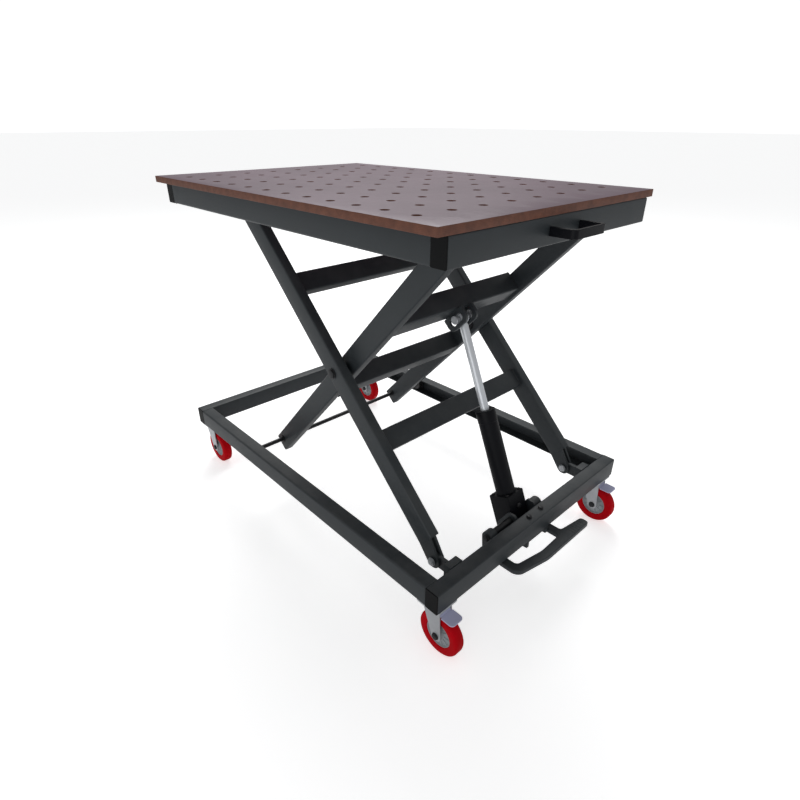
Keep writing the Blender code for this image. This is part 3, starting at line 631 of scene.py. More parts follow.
def board_solid():
    bm = bmesh.new()
    mid, half = (low + high) / 2, (high - low) / 2
    flat = half - Vector((EDGE_R, EDGE_R, 0))
    xs = [mid.x + (i - 5.5) * PITCH_X for i in range(12)]
    ys = [mid.y + (j - 3.5) * PITCH_Y for j in range(8)]
    ex = [mid.x - flat.x] + [(a + b) / 2 for a, b in zip(xs, xs[1:])] + [mid.x + flat.x]
    ey = [mid.y - flat.y] + [(a + b) / 2 for a, b in zip(ys, ys[1:])] + [mid.y + flat.y]
    for i, x in enumerate(xs):
        for j, y in enumerate(ys):
            hole_cell(bm, x, y, ex[i], ex[i + 1], ey[j], ey[j + 1])
    bmesh.ops.remove_doubles(bm, verts=bm.verts, dist=1e-5)
    turns = [math.radians(t) for t in (30, 60, 90)]
    stages = [(EDGE_R * math.sin(t), high.z - EDGE_R * (1 - math.cos(t))) for t in turns]
    stages += [(EDGE_R * math.sin(t), low.z + EDGE_R * (1 - math.cos(t))) for t in reversed(turns)]
    edges = [e for e in bm.edges if e.is_boundary and e.verts[0].co.z > mid.z]
    for out, z in stages + [(0.0, low.z)]:
        edges, points = extruded(bm, edges)
        for v in points:
            for k in (0, 1):
                if abs(v.co[k] - mid[k]) > flat[k] - 1e-5:
                    v.co[k] = mid[k] + math.copysign(flat[k] + out, v.co[k] - mid[k])
            v.co.z = z
    bmesh.ops.remove_doubles(bm, verts=bm.verts, dist=1e-5)
    bmesh.ops.recalc_face_normals(bm, faces=bm.faces)
    return bm


def edges_to_ply(bm):
    bm.normal_update()
    for f in bm.faces:
        f.material_index = 0 if abs(f.normal.z) > 0.9 else 1


board = piece("board_panel", [board_solid()], (film, ply), "top", ("board",), 0.0,
              paint=edges_to_ply)
print("board faces", len(board.data.polygons))

# %% [markdown]
# ## Base and top frames
# The long rails of both frames are channels, open towards the middle, so that the rollers can run inside
# them. Each is one C outline with rounded bends, drawn out along the rail. The cross members are
# square-cornered tubes with rounded edges, and a plastic plug closes each end.

# %% Rails, cross tubes and end plugs
def channel(x0, x1, y_open, y_web, z0, z1, t=0.004):
    """A C-shaped rail along X with rounded bends."""
    inner = t if y_web < 0 else -t
    corners = [(y_open, z0), (y_web, z0), (y_web, z1), (y_open, z1), (y_open, z1 - t),
               (y_web + inner, z1 - t), (y_web + inner, z0 + t), (y_open, z0 + t)]
    bm = flat_face(corners)
    outer = [bm.verts[1], bm.verts[2]]
    bends = [bm.verts[5], bm.verts[6]]
    round_corners(bm, outer, 0.0060, 5)
    round_corners(bm, bends, 0.0025, 4)
    swept(bm, x1 - x0)
    bm.transform(Matrix(((0, 0, 1, x0), (1, 0, 0, 0), (0, 1, 0, 0), (0, 0, 0, 1))))
    return bm


def cross_tube(low, high, corner=0.0035):
    """A tube along Y that fills a box."""
    mid = (low + high) / 2
    return bar((mid.x, low.y, mid.z), (mid.x, high.y, mid.z), (0, 0, 1), high.z - low.z, high.x - low.x,
               0.003, corner)


def end_plug(low, high, sign):
    """A plastic plug: a shallow cap with a stem inside the tube."""
    mid = (low + high) / 2
    y_cap = (high.y - 0.0028, high.y) if sign > 0 else (low.y + 0.0028, low.y)
    y_stem = (high.y - 0.017, high.y - 0.001) if sign > 0 else (low.y + 0.017, low.y + 0.001)
    high_z, wide_x = high.z - low.z, high.x - low.x
    cap = bar((mid.x, y_cap[0], mid.z), (mid.x, y_cap[1], mid.z), (0, 0, 1), high_z - 0.0006,
              wide_x - 0.0006, 0, 0.0032)
    stem = bar((mid.x, y_stem[0], mid.z), (mid.x, y_stem[1], mid.z), (0, 0, 1), high_z - 0.0068,
               wide_x - 0.0068, 0, 0.002)
    return [cap, stem]


for name in ("base_crossbar_front", "base_crossbar_rear", "top_beam_front", "top_beam_rear"):
    body = "base" if name.startswith("base") else "top"
    painted(name.replace("base_", "floor_") + "_tube", [cross_tube(*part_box(name))], body, (name,), 0)
for end in ENDS:
    for side, sign in SIDES:
        for level in ("base", "top"):
            name = f"{level}_plug_{end}_{side}"
            piece(f"{name}_cap", end_plug(*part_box(name), sign), black_plug, level, (name,),
                  0.0009, 3)
print("cross tubes 4, plugs 8")

# %% Hexagon fixings
def through_bolt(x, z, y_in, y_out, radius, across=0.019, nut=0.0065):
    """A bolt across Y: a head and washer at y_in, and a washer and locking nut at y_out."""
    way = 1 if y_out > y_in else -1
    solids = [round_bar((x, y_in, z), (x, y_out, z), radius)]
    solids.append(disc(across * 0.60, 0.0014, (x, y_in - way * 0.0014, z), (0, way, 0)))
    solids.append(hexagon((x, y_in - way * 0.0014, z), (0, -way, 0), across, nut * 0.75))
    solids.append(disc(across * 0.60, 0.0014, (x, y_out, z), (0, way, 0)))
    solids.append(hexagon((x, y_out + way * 0.0014, z), (0, way, 0), across, nut * 0.8, 0.3))
    solids.append(turned([(0, 0), (across * 0.40, 0), (across * 0.36, 0.0022), (0, 0.0022)],
                         (x, y_out + way * (0.0014 + nut * 0.8), z), (0, way, 0)))
    return solids


rail_low, rail_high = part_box("base_rail_far")
top_low, top_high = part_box("top_rail_far")
for side, sign in SIDES:
    web, mouth = sign * rail_high.y, sign * rail_low.y
    rail = channel(rail_low.x, rail_high.x, mouth, web, rail_low.z, rail_high.z)
    painted(f"floor_rail_{side}", [rail], "base", (f"base_rail_{side}",), 0.0006)
    web, mouth = sign * top_high.y, sign * (top_high.y - 0.040)
    rail = channel(top_low.x, top_high.x, mouth, web, top_low.z, top_high.z)
    stud = round_bar((top_pin.x, sign * 0.2424, top_pin.z),
                     (top_pin.x, sign * (top_high.y - 0.003), top_pin.z), 0.0077)
    collar = plain_ring(0.0079, 0.0135, 0.0062, (top_pin.x, sign * 0.2736, top_pin.z), (0, sign, 0))
    painted(f"lift_rail_{side}", [rail, stud, collar], "top", (f"top_rail_{side}",), 0.0006)
    nut = [disc(0.0115, 0.0010, (top_pin.x, sign * 0.2426, top_pin.z), (0, -sign, 0)),
           hexagon((top_pin.x, sign * 0.2417, top_pin.z), (0, -sign, 0), 0.0180, 0.0036)]
    piece(f"top_pivot_nut_{side}", nut, zinc, "top", (), 0.0002)
print("rails", [round(v, 4) for v in (rail_high.x - rail_low.x, rail_high.y, rail_high.z)])

# %% [markdown]
# ## Fixed lower pivots
# Inside the front corners a thick block is welded to the crossbar. Its tongue reaches back to carry the
# stud on which an outer arm turns. The tongue is wrapped round the stud and the block, which is how such a
# plate is cut.

# %% Pivot lugs
cross_low, cross_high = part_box("base_crossbar_front")
for side, sign in SIDES:
    x_back = cross_low.x - 0.0220
    block = bar((x_back, sign * 0.302, 0.193), (cross_low.x - 0.0005, sign * 0.302, 0.193), (0, 0, 1),
                0.054, 0.044, 0, 0.002)
    tongue = wrapped([(low_pin.x, low_pin.z, 0.018), (x_back + 0.004, low_pin.z, 0.018)],
                     *sorted((sign * 0.297, sign * 0.307)))
    pin = through_bolt(low_pin.x, low_pin.z, sign * 0.2868, sign * 0.3172, 0.0076, 0.0190, 0.0046)
    painted(f"pivot_lug_{side}", [block, tongue], "base", (f"base_lug_{side}",), 0.0009)
    piece(f"pivot_lug_bolt_{side}", pin, zinc, "base", (), 0.0002)
print("lugs 2")

# %% [markdown]
# ## Scissor arms
# Four rectangular tubes cross in pairs. Flat end plates stand inside each tube and stick out to carry the
# pins, so the tube itself never bears on a pin. The two outer arms are tied by two cross tubes into one
# stiff ladder, and so are the inner ones, which sit just inside them.

# %% Arms with their end plates
def on_outer(s, n=0.0):
    return low_pin + out_dir * s + out_up * n


def on_inner(s, n=0.0):
    return low_slide + in_dir * s + in_up * n


def arm(at, up, offsets, s0, s1, y0, y1):
    """The tube of an arm. Its middle line runs straight between the two offsets."""
    def centre(s):
        n = offsets[0] + (offsets[1] - offsets[0]) * s / ARM_L
        p = at(s, n)
        return Vector((p.x, (y0 + y1) / 2, p.z))
    return bar(centre(s0), centre(s1), up, 0.060, abs(y1 - y0), 0.003, 0.0045)


def end_plates(at, s_pin, s_root, mid, radius, y0, y1, sign):
    """Two plates just inside the walls, wide in the tube and round about the pin."""
    pin, root = at(s_pin), at(s_root, mid)
    spread_up = (at(s_root, mid + 0.012) - root)
    rounds = [(pin.x, pin.z, radius)]
    for way in (1, -1):
        p = root + spread_up * way
        rounds.append((p.x, p.z, 0.0145))
    solids = []
    for a, b in ((y0 + 0.0032, y0 + 0.0105), (y1 - 0.0105, y1 - 0.0032)):
        solids.append(wrapped(rounds, *sorted((sign * a, sign * b))))
    return solids


def ladder_tube(at, s0, s1, n0, n1, half):
    """A cross tube between two arms."""
    mid = at((s0 + s1) / 2, (n0 + n1) / 2)
    along = at(s1, n0) - at(s0, n0)
    return bar((mid.x, -half, mid.z), (mid.x, half, mid.z), along, s1 - s0, n1 - n0, 0.003, 0.0045)


HALF_L = ARM_L / 2
# Inner and outer face of each arm, measured from the middle of the table
OUTER_Y, INNER_Y = (0.287, 0.317), (0.243, 0.273)
for side, sign in SIDES:
    tube = arm(on_outer, out_up, (0.018, -0.001), 0.055, ARM_L - 0.030, sign * OUTER_Y[0],
               sign * OUTER_Y[1])
    plates = end_plates(on_outer, 0.0, 0.095, 0.0163, 0.021, *OUTER_Y, sign)
    plates += end_plates(on_outer, ARM_L, ARM_L - 0.070, 0.0003, 0.023, *OUTER_Y, sign)
    painted(f"outer_arm_tube_{side}", [tube], "outer_arms", (f"outer_arm_{side}",), 0.0005)
    painted(f"outer_arm_plates_{side}", plates, "outer_arms", (), 0.0006)
    tube = arm(on_inner, in_up, (-0.006, 0.010), -0.026, ARM_L - 0.045, sign * INNER_Y[0],
               sign * INNER_Y[1])
    plates = end_plates(on_inner, ARM_L, ARM_L - 0.080, 0.0088, 0.018, *INNER_Y, sign)
    painted(f"inner_arm_tube_{side}", [tube], "inner_arms", (f"inner_arm_{side}",), 0.0005)
    painted(f"inner_arm_plates_{side}", plates, "inner_arms", (), 0.0006)
ladder = {
    "outer_beam_low": (on_outer, 0.296, 0.356, -0.005, 0.025, 0.2869, "outer_arms"),
    "outer_beam_high": (on_outer, 0.790, 0.850, -0.013, 0.017, 0.2869, "outer_arms"),
    "inner_beam_low": (on_inner, HALF_L - 0.150, HALF_L - 0.090, -0.030, 0.030, 0.2429, "inner_arms"),
    "inner_beam_high": (on_inner, HALF_L + 0.177, HALF_L + 0.237, -0.016, 0.044, 0.2429, "inner_arms"),
}
for name, (at, s0, s1, n0, n1, half, body) in ladder.items():
    painted(f"{name}_tube", [ladder_tube(at, s0, s1, n0, n1, half)], body, (name,), 0.0004)
print("arms 4, cross tubes", len(ladder))

# %% [markdown]
# ## Pins, axles and rollers
# A shouldered bolt joins each pair of arms where they cross. At the sliding ends, one long axle runs right
# across and carries a nylon roller in each channel, held by a spring clip.

# %% Centre bolts, axles, rollers
def spring_clip(x, y, z, shaft, way):
    """A retaining ring pressed into a groove of the axle."""
    return plain_ring(shaft, shaft + 0.0042, 0.0011, (x, y, z), (0, way, 0))


def roller_solid(x, z, y0, y1, bore, radius=0.025):
    wide = y1 - y0
    profile = [(bore, 0.0), (0.012, 0.0), (0.0125, 0.0012), (0.0200, 0.0012), (radius - 0.0015, 0.0),
               (radius, 0.0018), (radius, wide - 0.0018), (radius - 0.0015, wide),
               (0.0200, wide - 0.0012), (0.0125, wide - 0.0012), (0.012, wide), (bore, wide)]
    return turned(profile, (x, y0, z), (0, 1, 0), ring=True)


for side, sign in SIDES:
    bolt = [round_bar((mid_pin.x, sign * 0.2405, mid_pin.z), (mid_pin.x, sign * 0.3185, mid_pin.z),
                      0.0095), disc(0.0160, 0.0018, (mid_pin.x, sign * 0.3174, mid_pin.z), (0, sign, 0)),
            hexagon((mid_pin.x, sign * 0.3190, mid_pin.z), (0, sign, 0), 0.0240, 0.0042),
            disc(0.0160, 0.0018, (mid_pin.x, sign * 0.2426, mid_pin.z), (0, -sign, 0)),
            hexagon((mid_pin.x, sign * 0.2410, mid_pin.z), (0, -sign, 0), 0.0240, 0.0046),
            plain_ring(0.0097, 0.0155, 0.0130, (mid_pin.x, sign * 0.2735, mid_pin.z), (0, sign, 0))]
    piece(f"centre_bolt_{side}", bolt, dark_steel, "outer_arms", (f"centre_pin_{side}",), 0.0003)
    for level, pin, y0, y1, bore in (("top", top_slide, 0.3385, 0.3665, 0.0081),
                                     ("base", low_slide, 0.3755, 0.4035, 0.0074)):
        a, b = sorted((sign * y0, sign * y1))
        solid = roller_solid(pin.x, pin.z, a, b, bore)
        piece(f"{level}_track_roller_{side}", [solid], nylon, f"{level}_roller_{side}",
              (f"{level}_roller_{side}",), 0.0003)
upper = [round_bar((top_slide.x, -0.3690, top_slide.z), (top_slide.x, 0.3690, top_slide.z), 0.0077)]
lower = [round_bar((low_slide.x, -0.4060, low_slide.z), (low_slide.x, 0.4060, low_slide.z), 0.0070)]
for _, sign in SIDES:
    upper.append(spring_clip(top_slide.x, sign * 0.3672, top_slide.z, 0.0076, sign))
    lower.append(spring_clip(low_slide.x, sign * 0.4042, low_slide.z, 0.0069, sign))
    for y, size in ((0.2415, 0.0130), (0.2745, 0.0130)):
        lower.append(turned([(0.0071, -0.0010), (size, -0.0010), (size, 0.0010), (0.0071, 0.0010)],
                            (low_slide.x, sign * y, low_slide.z), (0, sign, 0), ring=True))
piece("upper_roller_axle", upper, dark_steel, "outer_arms", ("top_axle",), 0.0002)
piece("lower_roller_axle", lower, dark_steel, "inner_arms", ("low_axle",), 0.0002)
print("pins, axles and rollers ready")

# %% [markdown]
# ## Foot pump, cylinder and rod
# A square pump block hangs between the two saddle plates under the front crossbar, and the cylinder stands
# in it. The chrome rod ends in an eye, and a pin through the eye rides in two slotted ears under the upper
# cross tube.

# %% Pump block, cylinder and rod
rod_pin_at = (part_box("rod_pin")[0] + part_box("rod_pin")[1]) / 2
cyl_dir = Vector((rod_pin_at.x - foot_pin_at.x, 0, rod_pin_at.z - foot_pin_at.z))
CYL_LEN = cyl_dir.length
cyl_dir.normalize()
cyl_side = Vector((cyl_dir.z, 0, -cyl_dir.x))


def on_cylinder(u, v=0.0, y=0.0):
    p = foot_pin_at + cyl_dir * u + cyl_side * v
    return Vector((p.x, y, p.z))


block = bar(on_cylinder(-0.0215), on_cylinder(0.0980), cyl_side, 0.070, 0.070, 0, 0.0035)
valve = turned([(0, 0), (0.0085, 0), (0.0085, 0.0030), (0.0060, 0.0040), (0.0060, 0.0065), (0, 0.0065)],
               on_cylinder(0.072, -0.0350), -cyl_side)
plug = hexagon(on_cylinder(0.060, 0.0348), cyl_side, 0.0140, 0.0045)
screws = []
for y in (-0.026, 0.026):
    for v in (-0.026, 0.026):
        screws.append(turned([(0, 0), (0.0042, 0), (0.0042, 0.0030), (0.0034, 0.0038), (0, 0.0038)],
                             on_cylinder(0.0978, v, y), cyl_dir, 24))
piece("pump_body", [block], satin_black, "cylinder", ("pump_block",), 0.0014, 3)
piece("pump_valve", [valve, plug], dark_steel, "cylinder", (), 0.0003)
piece("pump_screws", screws, dark_steel, "cylinder", (), 0.0002)
barrel = turned([(0.0120, 0.0983), (0.0280, 0.0983), (0.0280, 0.1040), (0.0273, 0.1048), (0.0273, 0.3130),
                 (0.0280, 0.3138), (0.0280, 0.3440), (0.0268, 0.3475), (0.0180, 0.3480), (0.0170, 0.3470),
                 (0.0123, 0.3470), (0.0123, 0.3340), (0.0220, 0.3330), (0.0220, 0.1000), (0.0120, 0.1000)],
                foot_pin_at, cyl_dir, 64, ring=True)
piece("cylinder_barrel", [barrel], satin_black, "cylinder", ("cylinder_tube",), 0.0003)
shaft = turned([(0, 0.3020), (0.0216, 0.3020), (0.0216, 0.3130), (0.0120, 0.3135),
                (0.0120, CYL_LEN - 0.018), (0.0095, CYL_LEN - 0.011), (0, CYL_LEN - 0.011)], foot_pin_at,
               cyl_dir, 64)
eye = turned([(0.0073, -0.0130), (0.0142, -0.0130), (0.0150, -0.0122), (0.0150, 0.0122), (0.0142, 0.0130),
              (0.0073, 0.0130)], rod_pin_at, (0, 1, 0), 48, ring=True)
# The shaft's bright near-white colour is a painted reflection, not a metal one.
piece("piston_shaft", [shaft, eye], chrome_painted_reflection, "rod", ("piston_rod",), 0.0002)
pin = turned([(0, -0.0310), (0.0112, -0.0310), (0.0120, -0.0302), (0.0120, -0.0263), (0.0112, -0.0255),
              (0.0070, -0.0255), (0.0070, 0.0290), (0.0062, 0.0305), (0, 0.0305)], rod_pin_at, (0, 1, 0))
washer = turned([(0.0071, 0.0248), (0.0120, 0.0248), (0.0120, 0.0262), (0.0071, 0.0262)], rod_pin_at,
                (0, 1, 0), ring=True)
cotter = round_bar(rod_pin_at + Vector((0, 0.0280, -0.0115)), rod_pin_at + Vector((0, 0.0280, 0.0125)),
                   0.0013, 12, 0.0004)
piece("rod_eye_pin", [pin, washer, cotter], zinc, "rod", ("rod_pin",), 0.0002)
foot = turned([(0, -0.0515), (0.0112, -0.0515), (0.0120, -0.0508), (0.0120, -0.0493), (0.0077, -0.0493),
               (0.0077, 0.0493), (0.0120, 0.0493), (0.0120, 0.0508), (0.0112, 0.0515), (0, 0.0515)],
              foot_pin_at, (0, 1, 0))
piece("pump_foot_pin", [foot], dark_steel, "base", ("foot_pin",), 0.0002)
print("cylinder", round(CYL_LEN, 4), "m, pin to pin")

# %% [markdown]
# ## Ears, saddle and foot pedal
# The rod pin rides in two slotted ears. Below, a saddle bolted up through the front crossbar holds the pump
# between two plates, and the pedal swings on a short shaft beside it. The pedal is one thick flat bar bent
# to a U, so its outline is drawn once, its corners are rounded, and it is drawn out to the bar's height.

# %% Slotted ears
def slotted_ear(sign):
    """A plate with an open slot, cut along the upper cross tube's underside."""
    s_mid, n_mid = HALF_L + 0.2072, -0.0358
    plate = [(s_mid - 0.040, -0.0165), (s_mid + 0.040, -0.0165), (s_mid + 0.040, n_mid - 0.022),
             (s_mid - 0.040, n_mid - 0.022)]
    bm = flat_face(plate)
    round_corners(bm, [bm.verts[2], bm.verts[3]], 0.020, 8)
    rim = bm.edges[:]
    slot = []
    for centre, start in ((0.0155, -math.pi / 2), (-0.0155, math.pi / 2)):
        for k in range(9):
            a = start + math.pi * k / 8
            slot.append(bm.verts.new((s_mid + centre + 0.0112 * math.cos(a), n_mid + 0.0112 * math.sin(a),
                                      0)))
    hole = [bm.edges.new((slot[i - 1], slot[i])) for i in range(len(slot))]
    bmesh.ops.delete(bm, geom=bm.faces[:], context="FACES_ONLY")
    bmesh.ops.triangle_fill(bm, edges=rim + hole, use_beauty=True)
    bmesh.ops.dissolve_limit(bm, angle_limit=0.01, verts=bm.verts[:], edges=bm.edges[:])
    swept(bm, 0.008)
    bm.transform(Matrix(((in_dir.x, in_up.x, 0, low_slide.x), (0, 0, sign, sign * 0.0165),
                         (in_dir.z, in_up.z, 0, low_slide.z), (0, 0, 0, 1))))
    return bm


for side, sign in SIDES:
    painted(f"slotted_ear_{side}", [slotted_ear(sign)], "inner_arms", (f"rod_ear_{side}",), 0.0005)
print("ears 2")

# %% Saddle under the crossbar
PEDAL_AT = Vector(joints["pedal_press"]["pos_m"])


def saddle_plate(sign):
    """One side plate: flat under the crossbar, with a rounded shoulder behind it."""
    x1, z1 = cross_high.x - 0.0010, cross_low.z - 0.0005
    x_b = cross_low.x - 0.0040
    points = [(x_b - 0.0620, 0.128), (x1, 0.136), (x1, z1), (x_b + 0.0005, z1), (x_b + 0.0005, 0.206),
              (x_b - 0.0090, 0.2165), (x_b - 0.0310, 0.2165), (x_b - 0.0620, 0.166)]
    bm = outline(points, 0.0035, 3, sharp=(2, 3))
    swept(bm, 0.008)
    bm.transform(Matrix(((1, 0, 0, 0), (0, 0, -1, sign * 0.045 + 0.004), (0, 1, 0, 0), (0, 0, 0, 1))))
    return bm


bridge = bar((cross_high.x - 0.0180, -0.0412, cross_low.z - 0.0034),
             (cross_high.x - 0.0180, 0.0412, cross_low.z - 0.0034), (0, 0, 1), 0.0058, 0.0330, 0, 0.0010)
shafts = [round_bar((PEDAL_AT.x, -0.1560, PEDAL_AT.z), (PEDAL_AT.x, -0.0450, PEDAL_AT.z), 0.0058),
          round_bar((PEDAL_AT.x, 0.0450, PEDAL_AT.z), (PEDAL_AT.x, 0.0840, PEDAL_AT.z), 0.0058),
          plain_ring(0.0058, 0.0110, 0.0745, (PEDAL_AT.x, -0.1240, PEDAL_AT.z), (0, 1, 0))]
caps = []
for y, way in ((-0.1545, -1), (0.0805, 1)):
    caps.append(plain_ring(0.0059, 0.0110, 0.0016, (PEDAL_AT.x, y, PEDAL_AT.z), (0, way, 0)))
    caps.append(hexagon((PEDAL_AT.x, y + way * 0.0016, PEDAL_AT.z), (0, way, 0), 0.0130, 0.0040))
painted("pump_saddle_plates", [saddle_plate(-1), saddle_plate(1), bridge], "base", ("pump_saddle",), 0.0008)
piece("pedal_shaft", shafts, dark_steel, "base", (), 0.0002)
piece("pedal_shaft_nuts", caps, dark_steel, "base", (), 0.0002)
print("saddle at", [round(v, 3) for v in (cross_low.x, cross_low.z)])

# %% Pedal
def pedal_bar():
    """The bent bar in plan, from the near arm round to the free end."""
    d = PEDAL_AT.x - 0.585
    points = [(0.573, -0.152), (0.691, -0.152), (0.712, -0.040), (0.712, 0.166), (0.685, 0.166),
              (0.673, 0.078), (0.573, 0.078), (0.573, 0.052), (0.682, 0.052), (0.685, -0.034),
              (0.669, -0.126), (0.573, -0.126)]
    bm = flat_face([(x + d, y) for x, y in points])
    rounding = {1: 0.0220, 2: 0.0080, 3: 0.0090, 4: 0.0090, 5: 0.0080, 8: 0.0080, 9: 0.0100, 10: 0.0100}
    picked = [(bm.verts[i].co.copy(), r) for i, r in rounding.items()]
    for where, r in picked:
        v = min(bm.verts, key=lambda w: (w.co - where).length)
        bmesh.ops.bevel(bm, geom=[v], offset=r, segments=8, profile=0.5, affect="VERTICES", material=-1,
                        clamp_overlap=True)
    swept(bm, 0.014)
    bmesh.ops.translate(bm, verts=bm.verts, vec=(0, 0, 0.132))
    return bm


straps = []
for y0, y1 in ((-0.1516, -0.1264), (0.0524, 0.0776)):
    straps.append(wrapped([(PEDAL_AT.x, PEDAL_AT.z, 0.0180), (PEDAL_AT.x - 0.0030, 0.1420, 0.0095),
                           (PEDAL_AT.x + 0.0040, 0.1420, 0.0095)], y0, y1))
painted("foot_pedal_bar", [pedal_bar()], "pedal", ("pedal",), 0.0022, 3)
painted("foot_pedal_straps", straps, "pedal", (), 0.0012)
treads = [bar((PEDAL_AT.x + 0.1030, y, 0.14560), (PEDAL_AT.x + 0.1240, y, 0.14560), (0, 0, 1), 0.0026,
              0.0034, 0, 0.0008, 2) for y in [0.094 + 0.0105 * k for k in range(7)]]
painted("foot_pedal_treads", treads, "pedal", (), 0)
print("pedal ready")

# %% [markdown]
# ## Pull handle
# A flat bar, bent to a U and screwed to the front of the top frame, pulls the table along.

# %% Handle
low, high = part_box("handle")
t = 0.008
points = [(low.x, low.y), (high.x, low.y), (high.x, high.y), (low.x, high.y), (low.x, high.y - t),
          (high.x - t, high.y - t), (high.x - t, low.y + t), (low.x, low.y + t)]
handle_bar = flat_face(points)
outer_bends = [handle_bar.verts[i] for i in (1, 2)]
inner_bends = [handle_bar.verts[i] for i in (5, 6)]
round_corners(handle_bar, outer_bends, 0.0125, 8)
round_corners(handle_bar, inner_bends, 0.0050, 8)
swept(handle_bar, high.z - low.z)
bmesh.ops.translate(handle_bar, verts=handle_bar.verts, vec=(0, 0, low.z))
piece("pull_handle", [handle_bar], satin_black, "top", ("handle",), 0.0014, 3)
print("handle reaches", round(high.x, 4))

# %% [markdown]
# ## Casters
# Each caster has a plate under the crossbar, a swivel head with its dust lip, a pressed fork, and a grey
# moulded core with a red tread cast onto it. The two front casters have a brake pedal over the wheel.

# %% Caster parts
WHEEL_R, TRAIL = 0.0625, 0.020


def leg(x, y, sign):
    ax = x + TRAIL
    return wrapped([(ax, WHEEL_R, 0.0150), (x - 0.0195, 0.1385, 0.0045), (x + 0.0260, 0.1385, 0.0045)],
                   *sorted((y + sign * 0.0195, y + sign * 0.0225)))


def caster(end, side, x, y, braked):
    label = f"{end}_{side}"
    top_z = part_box(f"caster_plate_{label}")[1].z
    plate = bar((x, y, top_z - 0.0050), (x, y, top_z), (1, 0, 0), 0.074, 0.074, 0, 0.0090, 6)
    race = turned([(0.0135, 0), (0.0300, 0), (0.0315, 0.0010), (0.0290, 0.0040), (0.0135, 0.0040)],
                  (x, y, top_z - 0.0089), (0, 0, 1), 48, ring=True)
    piece(f"mount_plate_{label}", [plate, race], zinc, "base", (f"caster_plate_{label}",), 0.0007)
    bolts = []
    for dx in (-0.0285, 0.0285):
        for dy in (-0.0285, 0.0285):
            bolts.append(disc(0.0068, 0.0009, (x + dx, y + dy, top_z - 0.0049), (0, 0, -1), 24))
            bolts.append(hexagon((x + dx, y + dy, top_z - 0.0057), (0, 0, -1), 0.0100, 0.0042))
    piece(f"mount_bolts_{label}", bolts, zinc, "base", (), 0.0002)
    head = turned([(0, 0.1372), (0.0235, 0.1372), (0.0262, 0.1392), (0.0285, 0.1425), (0.0300, 0.1440),
                   (0.0300, 0.1485), (0.0292, 0.1500), (0.0130, 0.1500), (0.0130, top_z - 0.0060),
                   (0, top_z - 0.0060)], (x, y, 0), (0, 0, 1), 48)
    deck = bar((x - 0.0235, y, 0.1400), (x + 0.0275, y, 0.1400), (0, 0, 1), 0.0060, 0.0450, 0, 0.0028)
    fork = [head, deck] + [leg(x, y, s) for s in (-1, 1)]
    piece(f"swivel_fork_{label}", fork, zinc, f"caster_{label}", (f"caster_fork_{label}",), 0.0007)
    ax = x + TRAIL
    axle = [round_bar((ax, y - 0.0284, WHEEL_R), (ax, y + 0.0284, WHEEL_R), 0.0045)]
    for s in (-1, 1):
        axle.append(plain_ring(0.0046, 0.0100, 0.0012, (ax, y + s * 0.0224, WHEEL_R), (0, s, 0), 32))
        axle.append(hexagon((ax, y + s * 0.0235, WHEEL_R), (0, s, 0), 0.0150, 0.0045))
    piece(f"wheel_bolt_{label}", axle, dark_steel, f"caster_{label}", (), 0.0002)
    tread = turned([(0.0380, -0.0125), (0.0400, -0.0148), (0.0440, -0.0158), (0.0520, -0.0160),
                    (0.0575, -0.0152), (0.0610, -0.0126), (WHEEL_R, -0.0090), (WHEEL_R, 0.0090),
                    (0.0610, 0.0126), (0.0575, 0.0152), (0.0520, 0.0160), (0.0440, 0.0158),
                    (0.0400, 0.0148), (0.0380, 0.0125)], (ax, y, WHEEL_R), (0, 1, 0), 96, ring=True)
    piece(f"tread_{label}", [tread], tread_red, f"wheel_{label}", (f"caster_wheel_{label}",),
          0.0006)
    core = turned([(0.0062, -0.0185), (0.0120, -0.0185), (0.0138, -0.0172), (0.0150, -0.0120),
                   (0.0175, -0.0085), (0.0325, -0.0080), (0.0345, -0.0100), (0.0358, -0.0135),
                   (0.0381, -0.0124), (0.0381, 0.0124), (0.0358, 0.0135), (0.0345, 0.0100),
                   (0.0325, 0.0080), (0.0175, 0.0085), (0.0150, 0.0120), (0.0138, 0.0172),
                   (0.0120, 0.0185), (0.0062, 0.0185)], (ax, y, WHEEL_R), (0, 1, 0), 96, ring=True)
    ribs = []
    for k in range(10):
        a = 2 * math.pi * k / 10
        spoke = Vector((math.cos(a), 0, math.sin(a)))
        centre = Vector((ax, y, WHEEL_R))
        ribs.append(bar(centre + spoke * 0.0140, centre + spoke * 0.0352, (0, 1, 0), 0.0215, 0.0026, 0,
                        0.0008, 2))
    piece(f"wheel_core_{label}", [core] + ribs, hub_grey, f"wheel_{label}", (), 0.0005)
    if braked:
        bx = x + 0.0265
        pad = flat_face([(x + 0.0340, y - 0.0210), (x + 0.0700, y - 0.0210), (x + 0.0700, y + 0.0210),
                         (x + 0.0340, y + 0.0210)])
        round_corners(pad, [pad.verts[1], pad.verts[2]], 0.0100, 6)
        swept(pad, 0.0030)
        bmesh.ops.translate(pad, verts=pad.verts, vec=(0, 0, 0.1318))
        tongue = bar((bx - 0.0010, y, 0.1330), (x + 0.0440, y, 0.1330), (0, 0, 1), 0.0022, 0.0330, 0,
                     0.0006)
        barrel = round_bar((bx, y - 0.0184, 0.1325), (bx, y + 0.0184, 0.1325), 0.0040)
        piece(f"brake_pedal_{side}", [pad, tongue, barrel], brake_grey, f"brake_{side}",
              (f"caster_brake_{label}",), 0.0008)


for end in ENDS:
    for side, sign in SIDES:
        where = Vector(joints[f"swivel_{end}_{side}"]["pos_m"])
        caster(end, side, where.x, where.y, end == "front")
print("casters 4")

# %% [markdown]
# ## Welds and fixings
# A welded frame shows its joints: a bead of small overlapping ripples runs along each seam. The beads here
# are rows of flattened drops. Two bolts come up through the front crossbar to hold the pump saddle, and
# screws under the board's rails hold the board down.

